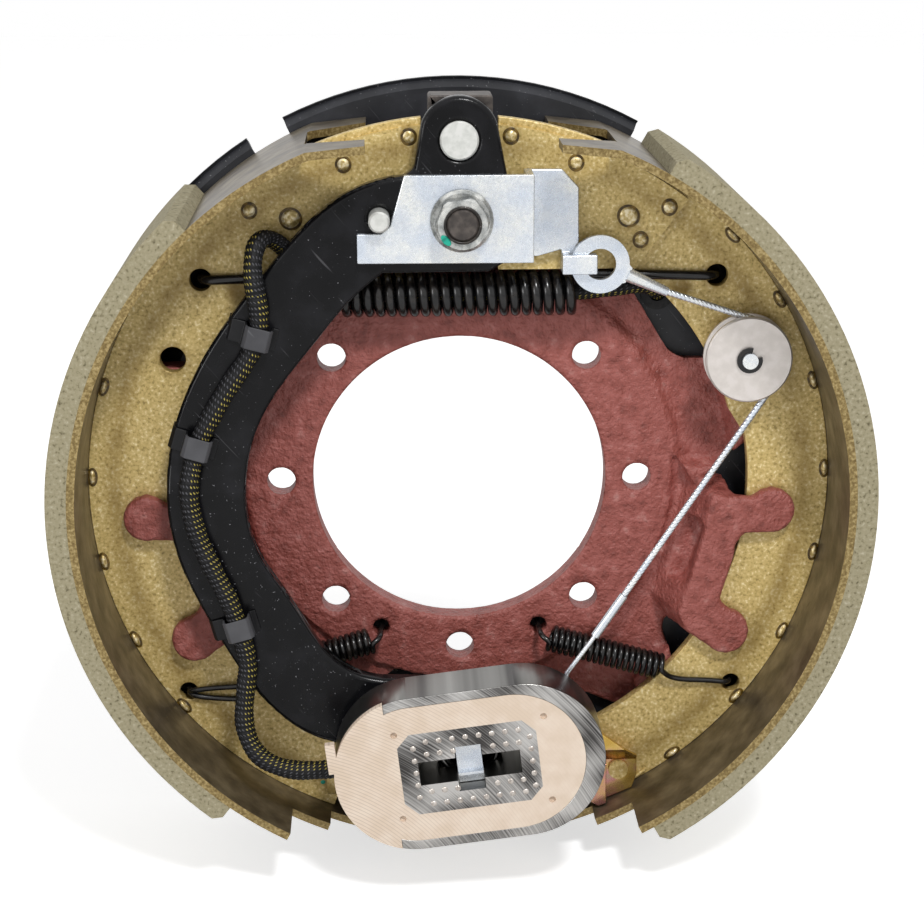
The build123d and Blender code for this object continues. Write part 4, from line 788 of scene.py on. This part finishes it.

# %% [markdown]
# Red oxide primer is a thin matt paint over sand-cast iron. Four reds drift at random in patches about
# twice as wide as the pebbles: the paint's own tone, with the darkest and palest red as painted shade
# and painted highlight of the sand relief.

# %% Red oxide primer on sand-cast iron
tree, surface, place = new_finish(
    "iron_paint", "red_oxide_primer_on_cast_iron", {"Roughness": 0.42, "IOR": 1.5, "Specular IOR Level": 0.4})
# The darkest and palest of these reds are painted shade and painted highlight of the relief.
colour = patches(tree, place, 0.0050, ("#7A3F38", "#914E46", "#9D5A53", "#B27C75"), 0.28, 0.78)
coat(tree, surface, place, colour, 0.0015, 0.0010)

# %% [markdown]
# The arm, shield and straps are dipped in a black electrocoat: an even, thin semi-gloss film. Handling
# leaves pale dust specks about a millimetre wide and a few long, faint scratches, and the film's slight
# orange peel blurs what it mirrors. The shield is duller and a little bluer than the arm. The straps
# are matt and greyer, and their roofs over the sleeve are coloured near black.

# %% Black electrocoat
ROOF_DEPTH, SPECK_WIDTH, SCRATCH_WIDTH, SCRATCH_LEAN, SCRATCH_STRETCH = -0.0440, 0.0009, 0.0008, 0.7, 0.05
COATS = (
    ("black_paint", "black_electrocoat", ("#08080A", "#0D0D0F", "#19191C"), 0.24, 0.20, 0.735),
    ("shield", "satin_black_coat_on_sheet", ("#1E1F23", "#26272B", "#34353A"), 0.38, 0.35, 0.72),
    ("strap", "matt_black_strap_coat", ("#3A3A3D", "#454548", "#505053"), 0.50, 0.30, 0.76))
for slot, name, codes, roughness, shine, dust in COATS:
    tree, surface, place = new_finish(
        slot, name, {"Roughness": roughness, "IOR": 1.5, "Specular IOR Level": shine})
    wiped = patches(tree, place, 0.014, codes, 0.30, 0.70)
    specks = add(tree, "TexNoise", {"Vector": place, "Scale": 1 / SPECK_WIDTH, "Detail": 1.0})
    share = add(tree, "MapRange", {"Value": specks.outputs["Fac"], "From Min": dust, "From Max": dust + 0.05})
    leaning = add(tree, "VectorRotate", {"Vector": place, "Angle": SCRATCH_LEAN}, rotation_type="Y_AXIS")
    stretched = add(tree, "VectorMath", {0: leaning, 1: (1.0, 1.0, SCRATCH_STRETCH)},
                    operation="MULTIPLY")
    strokes = add(tree, "TexNoise", {"Vector": stretched, "Scale": 1 / SCRATCH_WIDTH, "Detail": 0.0})
    scratch = add(tree, "MapRange", {"Value": strokes.outputs["Fac"], "From Min": 0.79, "From Max": 0.90,
                                     "To Max": 0.3})
    marks = maths(tree, "MAXIMUM", share, scratch)
    colour = paint_over(tree, marks, wiped, "#77777A")
    if slot == "strap":
        depth = add(tree, "SeparateXYZ", {"Vector": place})
        on_roof = maths(tree, "LESS_THAN", depth.outputs["Y"], ROOF_DEPTH)
        # The strap roofs, the parts nearest the front, are coloured near black.
        colour = paint_over(tree, on_roof, "#0E0E10", colour)
    coat(tree, surface, place, colour, 0.0035, 0.00003)

# %% [markdown]
# The shoes are zinc plated and dipped in yellow chromate, which dries to a grainy sand gold. Acid that
# ran out of the holes and welds has stained round them amber. The stains are masks: the distance from
# a point in the picture plane to each hole, with a wavy edge so that no stain is a perfect disc. A
# fainter stained band follows the joint of web and table. A stain is x, z and reach in millimetres.

# %% Yellow chromate on zinc plate
STAINS = ((97.6, 82.5, 8), (108.2, -83.4, 7), (109.2, 51.8, 8), (78.4, 109.0, 5), (63.1, 105.8, 7),
          (67.8, 96.8, 5), (43.2, 125.9, 5), (18.9, 135.9, 5), (84.0, 78.0, 6))
STAIN_CORE, WAVER_WIDTH, STAIN_STRENGTH = 2.6, 0.009, 1.45
BAND_RADIUS, BAND_HALF, BAND_CORE = 0.1335, 0.0060, 0.001
tree, surface, place = new_finish(
    "yellow_chromate", "yellow_chromate_on_zinc", {"Roughness": 0.40, "Metallic": 0.25})
grain = patches(tree, place, 0.0012, ("#957F48", "#C6AC6A", "#D4BB7C", "#F2E2B2"), 0.28, 0.72)
axes = add(tree, "SeparateXYZ", {"Vector": place})
mirrored_x = maths(tree, "ABSOLUTE", axes.outputs["X"])
flat = add(tree, "CombineXYZ", {"X": mirrored_x, "Z": axes.outputs["Z"]})
waver = add(tree, "TexNoise", {"Vector": place, "Scale": 1 / WAVER_WIDTH, "Detail": 3.0})
stained = None
for x, z, reach in STAINS:
    away = add(tree, "VectorMath", {0: flat, 1: (x / 1000, 0.0, z / 1000)}, operation="DISTANCE")
    near = add(tree, "MapRange", {"Value": away.outputs["Value"], "From Min": reach / 1000,
                                  "From Max": reach / 1000 / STAIN_CORE})
    stained = maths(tree, "MAXIMUM", stained, near) if stained else near
out = add(tree, "VectorMath", {0: flat}, operation="LENGTH")
from_band = maths(tree, "SUBTRACT", out.outputs["Value"], BAND_RADIUS)
off_band = maths(tree, "ABSOLUTE", from_band)
band = add(tree, "MapRange", {"Value": off_band, "From Min": BAND_HALF, "From Max": BAND_CORE,
                              "To Max": 0.6})
stained = maths(tree, "MAXIMUM", stained, band)
edge = maths(tree, "MULTIPLY", stained, waver.outputs["Fac"])
mask = maths(tree, "MULTIPLY", edge, STAIN_STRENGTH, use_clamp=True)
colour = paint_over(tree, mask, grain, "#7A5F22")
coat(tree, surface, place, colour, 0.0006, 0.00005)

# %% [markdown]
# The rolled tables' wide faces are coloured dark brown, partly for a thicker, oily film and partly as
# painted shade, since they lie in shadow; the sheared front edge is a bright amber. The two are told
# apart by which way the surface points, read from its normal.

# %% Table strip: oily film and painted shade on the wide faces, an amber edge
tree, surface, place = new_finish("table", "oiled_and_shaded_chromate_strip", {"Roughness": 0.36, "Metallic": 0.5})
on_edge = maths(tree, "GREATER_THAN", squarely(tree), 0.6)
# The wide faces' dark browns are partly an oily film and partly painted shade.
wide_faces_oiled_and_shaded = patches(tree, place, 0.010, ("#4A4236", "#655B4B", "#7D7360"), 0.35, 0.68)
narrow = patches(tree, place, 0.0010, ("#6E5A34", "#8E7A4C", "#B5A070"), 0.30, 0.70)
colour = paint_over(tree, on_edge, wide_faces_oiled_and_shaded, narrow)
coat(tree, surface, place, colour, 0.006, 0.00025)

# %% [markdown]
# Zinc plate is made of crystal grains under a millimetre wide, each a slightly different bluish grey,
# over slow drifts of blue and white from the passivating bath. Faces that stand side on to the front
# are painted darker, strongly on the nut's hexagon flanks and faintly elsewhere, as painted shade and
# reflection of the dark parts round them.

# %% Bright zinc plate
GRAIN_WIDTH, GRAIN_CONTRAST = 0.0008, 0.45
ZINC = (
    ("zinc_plate", "bright_zinc_plate", 0.011, ("#DCE4EF", "#EAEEF2", "#F8F9F5"), "#CDD5E0", "#C3C9D1"),
    ("nut", "zinc_plate_on_nut", 0.0040, ("#8E908D", "#BFC0BC", "#E6E6E1"), "#B4B8BA", "#5A5C5A"))
for slot, name, width, codes, grain, side_on_painted_shade in ZINC:
    tree, surface, place = new_finish(slot, name, {"Metallic": 0.7})
    drift = patches(tree, place, width, codes, 0.35, 0.65)
    grains = add(tree, "TexVoronoi", {"Vector": place, "Scale": 1 / GRAIN_WIDTH})
    tone = add(tree, "SeparateColor", {"Color": grains.outputs["Color"]})
    share = maths(tree, "MULTIPLY", tone, GRAIN_CONTRAST)
    # Painted shade and reflection: side-on faces, above all the nut's flanks, turn darker.
    side_on_shade_mask = add(tree, "MapRange", {"Value": squarely(tree), "From Min": 0.50, "From Max": 0.15})
    face = paint_over(tree, share, drift, grain)
    colour = paint_over(tree, side_on_shade_mask, face, side_on_painted_shade)
    tree.links.new(colour, surface.inputs["Base Color"])
    gloss = add(tree, "MapRange", {"Value": tone.outputs[1], "To Min": 0.20, "To Max": 0.34})
    tree.links.new(gloss.outputs[0], surface.inputs["Roughness"])

# %% [markdown]
# The magnet's face was turned on a lathe in one cut across case, facing and pole, so fine arcs round
# one far centre cross all three. The tool marks are real; on steel their light and dark streaks under a
# millimetre wide are painted highlight and reflection. The drawn wall of the case is smooth instead, and
# its slow upright bands are painted reflections. The surface's own normal tells the turned face from
# the drawn wall.

# %% Turned and drawn steel
CUTTER_CENTRE, STREAK_WIDTH, SWEEP_WIDTH = (-0.078, 0.0, -0.185), 0.0007, 0.020


def from_cutter(tree, place):
    """Distance in the picture plane from the centre of the cutter's arcs."""
    away = add(tree, "VectorMath", {0: place, 1: CUTTER_CENTRE}, operation="SUBTRACT")
    flat = add(tree, "VectorMath", {0: away, 1: (1.0, 0.0, 1.0)}, operation="MULTIPLY")
    return add(tree, "VectorMath", {0: flat}, operation="LENGTH").outputs["Value"]


tree, surface, place = new_finish("steel", "turned_and_drawn_steel", {"Metallic": 1.0, "Roughness": 0.3})
arcs = add(tree, "TexNoise", {"W": from_cutter(tree, place), "Scale": 1 / STREAK_WIDTH, "Detail": 2.0},
           noise_dimensions="1D")
sweep = add(tree, "TexNoise", {"Vector": place, "Scale": 1 / SWEEP_WIDTH, "Detail": 1.0})
both = maths(tree, "MULTIPLY_ADD", sweep.outputs["Fac"], 2.2, arcs.outputs["Fac"])
level = add(tree, "MapRange", {"Value": both, "From Min": 1.25, "From Max": 2.0})
# Real tool marks, whose light and dark streaks are painted highlight and reflection.
turned_marks_and_sheen = paint_over(tree, level, "#4B4948", "#CFCDCA")
# Painted reflections: slow upright bands on the drawn wall of the case.
upright = add(tree, "VectorMath", {0: place, 1: (1.0, 0.0, 0.25)}, operation="MULTIPLY")
drawn_wall_reflection_bands = patches(tree, upright, 0.014, ("#4A4847", "#7C7B78", "#8A8986", "#A9A8A5"), 0.35, 0.68)
on_face = maths(tree, "GREATER_THAN", squarely(tree), 0.8)
colour = paint_over(tree, on_face, drawn_wall_reflection_bands, turned_marks_and_sheen)
tree.links.new(colour, surface.inputs["Base Color"])

# %% [markdown]
# Brake lining is pressed from resin, fibre and metal dust, so it is matt and flecked dark and pale.

# %% Moulded friction lining
tree, surface, place = new_finish("lining", "moulded_friction_lining", {"Roughness": 0.86, "IOR": 1.5})
colour = patches(tree, place, 0.0014, ("#5E563F", "#928A6E", "#9A9278", "#B4AC94"), 0.28, 0.75)
coat(tree, surface, place, colour, 0.0010, 0.00010)

# %% [markdown]
# The magnet's facing is the same kind of compound in beige. The cutter's arcs cross it too: its feed
# left a fine groove every 1.3 mm, seen as a thin darker line and stronger on the left where the tool
# entered. A wave round the cutter's centre draws them, and a narrow slice of the wave is the groove.

# %% Machined beige facing
CUTTER_STEP = 0.0013
tree, surface, place = new_finish("facing", "machined_beige_facing", {"Roughness": 0.7, "IOR": 1.5})
phase = maths(tree, "MULTIPLY", from_cutter(tree, place), 2 * math.pi / CUTTER_STEP)
wave = maths(tree, "SINE", phase)
groove = add(tree, "MapRange", {"Value": wave, "From Min": 0.55, "From Max": 1.0})
axes = add(tree, "SeparateXYZ", {"Vector": place})
leftward = add(tree, "MapRange", {"Value": axes.outputs["X"], "From Min": 0.03, "From Max": -0.04,
                                  "To Min": 0.05, "To Max": 0.5})
share = maths(tree, "MULTIPLY", groove, leftward)
blotch = patches(tree, place, 0.008, ("#D7C4B0", "#DDCBB9", "#E2D2C1"), 0.35, 0.65)
colour = paint_over(tree, share, blotch, "#A38F7C")
tree.links.new(colour, surface.inputs["Base Color"])

# %% [markdown]
# The sleeve is a black polyester braid with a yellow tracer yarn. Its own UVs say how far along the
# tube and how far round a point is, so flecks sit in rows 1.1 mm apart whichever way it bends. They are
# the yellow tracer on two sides of the tube, and elsewhere grey, a painted highlight where the yarns'
# backs catch the light.

# %% Black braid with yellow tracer
ROW_STEP, TRACER_AT = 0.0011, 0.86
tree, surface, place = new_finish(
    "sleeve", "black_polyester_braid", {"Roughness": 0.6, "IOR": 1.5, "Specular IOR Level": 0.25})
around = add(tree, "UVMap", uv_map="along_round")
uv = add(tree, "SeparateXYZ", {"Vector": around.outputs["UV"]})
rows = maths(tree, "MULTIPLY", uv.outputs["X"], 2 * math.pi / (2 * ROW_STEP))
turns = maths(tree, "MULTIPLY", uv.outputs["Y"], 2 * math.pi * CARRIERS)
shifted = maths(tree, "ADD", rows, turns)
one_way = maths(tree, "SINE", shifted)
round_it = maths(tree, "SINE", turns)
crossing = maths(tree, "MULTIPLY", round_it, one_way)
chosen = maths(tree, "GREATER_THAN", crossing, 0.6)
round_twice = maths(tree, "MULTIPLY_ADD", uv.outputs["Y"], 4 * math.pi, -TRACER_AT * 4 * math.pi)
facing_band = maths(tree, "COSINE", round_twice)
tracer = maths(tree, "GREATER_THAN", facing_band, 0.1)
# Yellow tracer flecks on two sides; elsewhere grey flecks as painted highlight.
tracer_and_sheen_fleck = paint_over(tree, tracer, "#4C4C50", "#A39446")
colour = paint_over(tree, chosen, "#0C0C0E", tracer_and_sheen_fleck)
tree.links.new(colour, surface.inputs["Base Color"])

# %% [markdown]
# The remaining finishes are plainer: spring wire, weld marks, pressed dots, paint dabs, the painted
# shade in the spring holes and round the stud, rubber, wire insulation, the winding's resin, the
# pulley's sintered iron and the pins. Each still drifts between close tones, because no real surface
# has one flat colour. A row is the slot, the name, roughness, metallic, the width of its patches, its
# tones and the depth of its relief.

# %% Plainer finishes
PLAIN = (
    ("spring_black", "oiled_black_spring_wire", 0.22, 0.0, 0.0040,
     ("#0A0A0B", "#121112", "#231F1C"), 0.00002),
    ("weld_burn", "amber_burn_round_welds", 0.35, 0.2, 0.0020, ("#3A2A0A", "#54400F", "#735817"), 0.00004),
    ("weld_metal", "plated_weld_button", 0.35, 0.4, 0.0015, ("#A08A50", "#CDB67E", "#EDE0BC"), 0.00005),
    ("worn_dot", "pressed_steel_dot", 0.35, 0.8, 0.0010, ("#A89F98", "#C0B8B0", "#D5CEC7"), 0.00002),
    ("green_dab", "green_paint_dab", 0.40, 0.0, 0.0020, ("#007A68", "#009A82", "#10A88E"), 0.00004),
    # The next two rows are painted shade: the sheets in the spring holes and the countersink ring.
    ("shade_in_hole", "dark_sheet_behind_hole", 0.70, 0.0, 0.0020, ("#080808", "#0C0C0C", "#111111"), 0.00002),
    ("countersink_shade", "dark_countersink", 0.35, 0.4, 0.0010, ("#1E1B19", "#2B2724", "#3A3531"), 0.00002),
    ("rubber", "black_moulded_rubber", 0.75, 0.0, 0.0020, ("#101011", "#19191A", "#222223"), 0.00005),
    ("wire_insulation", "black_wire_insulation", 0.45, 0.0, 0.0040,
     ("#0F0F10", "#161617", "#202021"), 0.00002),
    ("coil_resin", "brown_winding_resin", 0.6, 0.0, 0.0030, ("#3B2E22", "#4A3B2B", "#5A4835"), 0.00004),
    ("pulley_metal", "sintered_grey_iron", 0.34, 0.6, 0.0040, ("#D6CFC9", "#DBD4CE", "#E1DAD5"), 0.00002),
    ("cut_pin", "pale_cut_end_of_pin", 0.40, 0.5, 0.0025, ("#CDCEC9", "#D5D6D1", "#DEDEDA"), 0.00003),
    ("dark_stud", "phosphated_stud", 0.5, 0.3, 0.0030, ("#3A3532", "#48423E", "#57504B"), 0.00003))
for slot, name, roughness, metallic, width, codes, depth in PLAIN:
    tree, surface, place = new_finish(slot, name, {"Roughness": roughness, "Metallic": metallic})
    coat(tree, surface, place, patches(tree, place, width, codes), width, depth)

# %% [markdown]
# The adjusting lever's film is thinner than the shoes' and shows rainbow tints, as oil on water does.
# A slow noise walks the colour from gold through pink to green across a few centimetres.

# %% Iridescent chromate on the lever
tree, surface, place = new_finish("lever", "iridescent_chromate", {"Roughness": 0.24, "Metallic": 0.95})
colour = patches(tree, place, 0.016, ("#C9A24A", "#D8B86A", "#C98C8A", "#8FA878"), 0.32, 0.68)
tree.links.new(colour, surface.inputs["Base Color"])

# %% [markdown]
# Every solid and every new piece now gets the finish of its slot in the record. A few nodes differ
# from their slot's neighbours, such as the shield, the tables and the stud, and are named one by one.

# %% Dress the pieces
slot_of = {part["node"]: part["material_slot"] for part in frame["record"]["subparts"]}
SPECIAL = {
    "dust_shield": "shield", "front_shoe_table": "table", "rear_shoe_table": "table",
    "anchor_pin": "dark_stud", "cam_block": "dark_stud", "adjuster_lever": "lever", "pivot_nut": "nut",
    "stop_pin": "cut_pin", "cam_pin": "cut_pin", "pulley_clip": "spring_black"}
for name, piece in nodes.items():
    piece.data.materials.clear()
    piece.data.materials.append(finishes[SPECIAL.get(name, slot_of[name])])
dressed = {
    "iron_paint": [casting], "sleeve": list(sleeves.values()), "zinc_plate": list(ropes.values()),
    "wire_insulation": list(tails.values()),
    "steel": [springs["magnet_spring"]], "worn_dot": [pole_dots], "weld_burn": list(burns.values()),
    "strap": [straps], "weld_metal": list(buttons.values()) + list(beads.values()),
    "green_dab": [dab_on_nut, dab_on_web], "shade_in_hole": [hole_shade_sheets], "countersink_shade": [countersink_shade],
    "spring_black": [spring for name, spring in springs.items() if name != "magnet_spring"]}
for slot, made in dressed.items():
    for piece in made:
        piece.data.materials.clear()
        piece.data.materials.append(finishes[slot])
print("dressed", len(nodes), "nodes and", sum(len(made) for made in dressed.values()), "new pieces")

# %% [markdown]
# A product picture has a white sweep. The floor glows for the camera alone, which lifts it to pure
# white, and it still keeps the object's soft shadow.

# %% Floor
FLOOR_HALF, FLOOR_HEIGHT, FLOOR_GLOW = 4, -0.1550, 0.60
corners = [(x * FLOOR_HALF, y * FLOOR_HALF, FLOOR_HEIGHT) for x, y in ((-1, -1), (1, -1), (1, 1), (-1, 1))]
floor_mesh = bpy.data.meshes.new("floor")
floor_mesh.from_pydata(corners, [], [(0, 1, 2, 3)])
floor = put("floor", floor_mesh)
tree, surface, _ = new_finish(
    "floor", "white_paper_sweep", {"Roughness": 0.9, "Base Color": "#F2F2F2"})
seen = add(tree, "LightPath")
tree.links.new(seen.outputs["Is Camera Ray"], surface.inputs["Emission Strength"])
surface.inputs["Emission Color"].default_value = (FLOOR_GLOW, FLOOR_GLOW, FLOOR_GLOW, 1.0)
floor.data.materials.append(finishes["floor"])

# %% [markdown]
# A small area lamp stands high and a little to the right, and gives the light its direction. A wider,
# weaker one stands low on the left and opens the shadows. Each is turned to face the brake.

# %% Lamps
LAMPS = (("key_lamp", (0.30, -1.15, 1.35), 20.0, 0.24), ("fill_lamp", (-1.3, -1.0, 0.3), 6.0, 0.5))
for name, spot, watts, width in LAMPS:
    lamp = bpy.data.lights.new(name, "AREA")
    lamp.energy = watts
    lamp.size = width
    holder = put(name, lamp)
    holder.location = spot
    holder.rotation_euler = Vector(spot).to_track_quat("Z", "Y").to_euler()
print("lit by", len(LAMPS), "area lamps")

# %% [markdown]
# Rays from the camera, from mirrors and through glass see a pure white world, while the light that
# falls on the object from it stays at a plain level.

# %% World
WORLD_LIGHT, WORLD_SEEN = 0.38, 1.0
world = bpy.data.worlds.new("white_studio")
bpy.context.scene.world = world
world.use_nodes = True
world.node_tree.nodes.clear()
tree = world.node_tree
seen = add(tree, "LightPath")
either = maths(tree, "MAXIMUM", seen.outputs["Is Camera Ray"], seen.outputs["Is Glossy Ray"])
any_of = maths(tree, "MAXIMUM", either, seen.outputs["Is Transmission Ray"])
level = add(tree, "MapRange", {"Value": any_of, "To Min": WORLD_LIGHT, "To Max": WORLD_SEEN})
sky = add(tree, "Background", {"Color": (1.0, 1.0, 1.0, 1.0), "Strength": level})
add(tree, "OutputWorld", {"Surface": sky})
bpy.context.scene.view_settings.view_transform = "Standard"
print("made", world.name)

# %% [markdown]
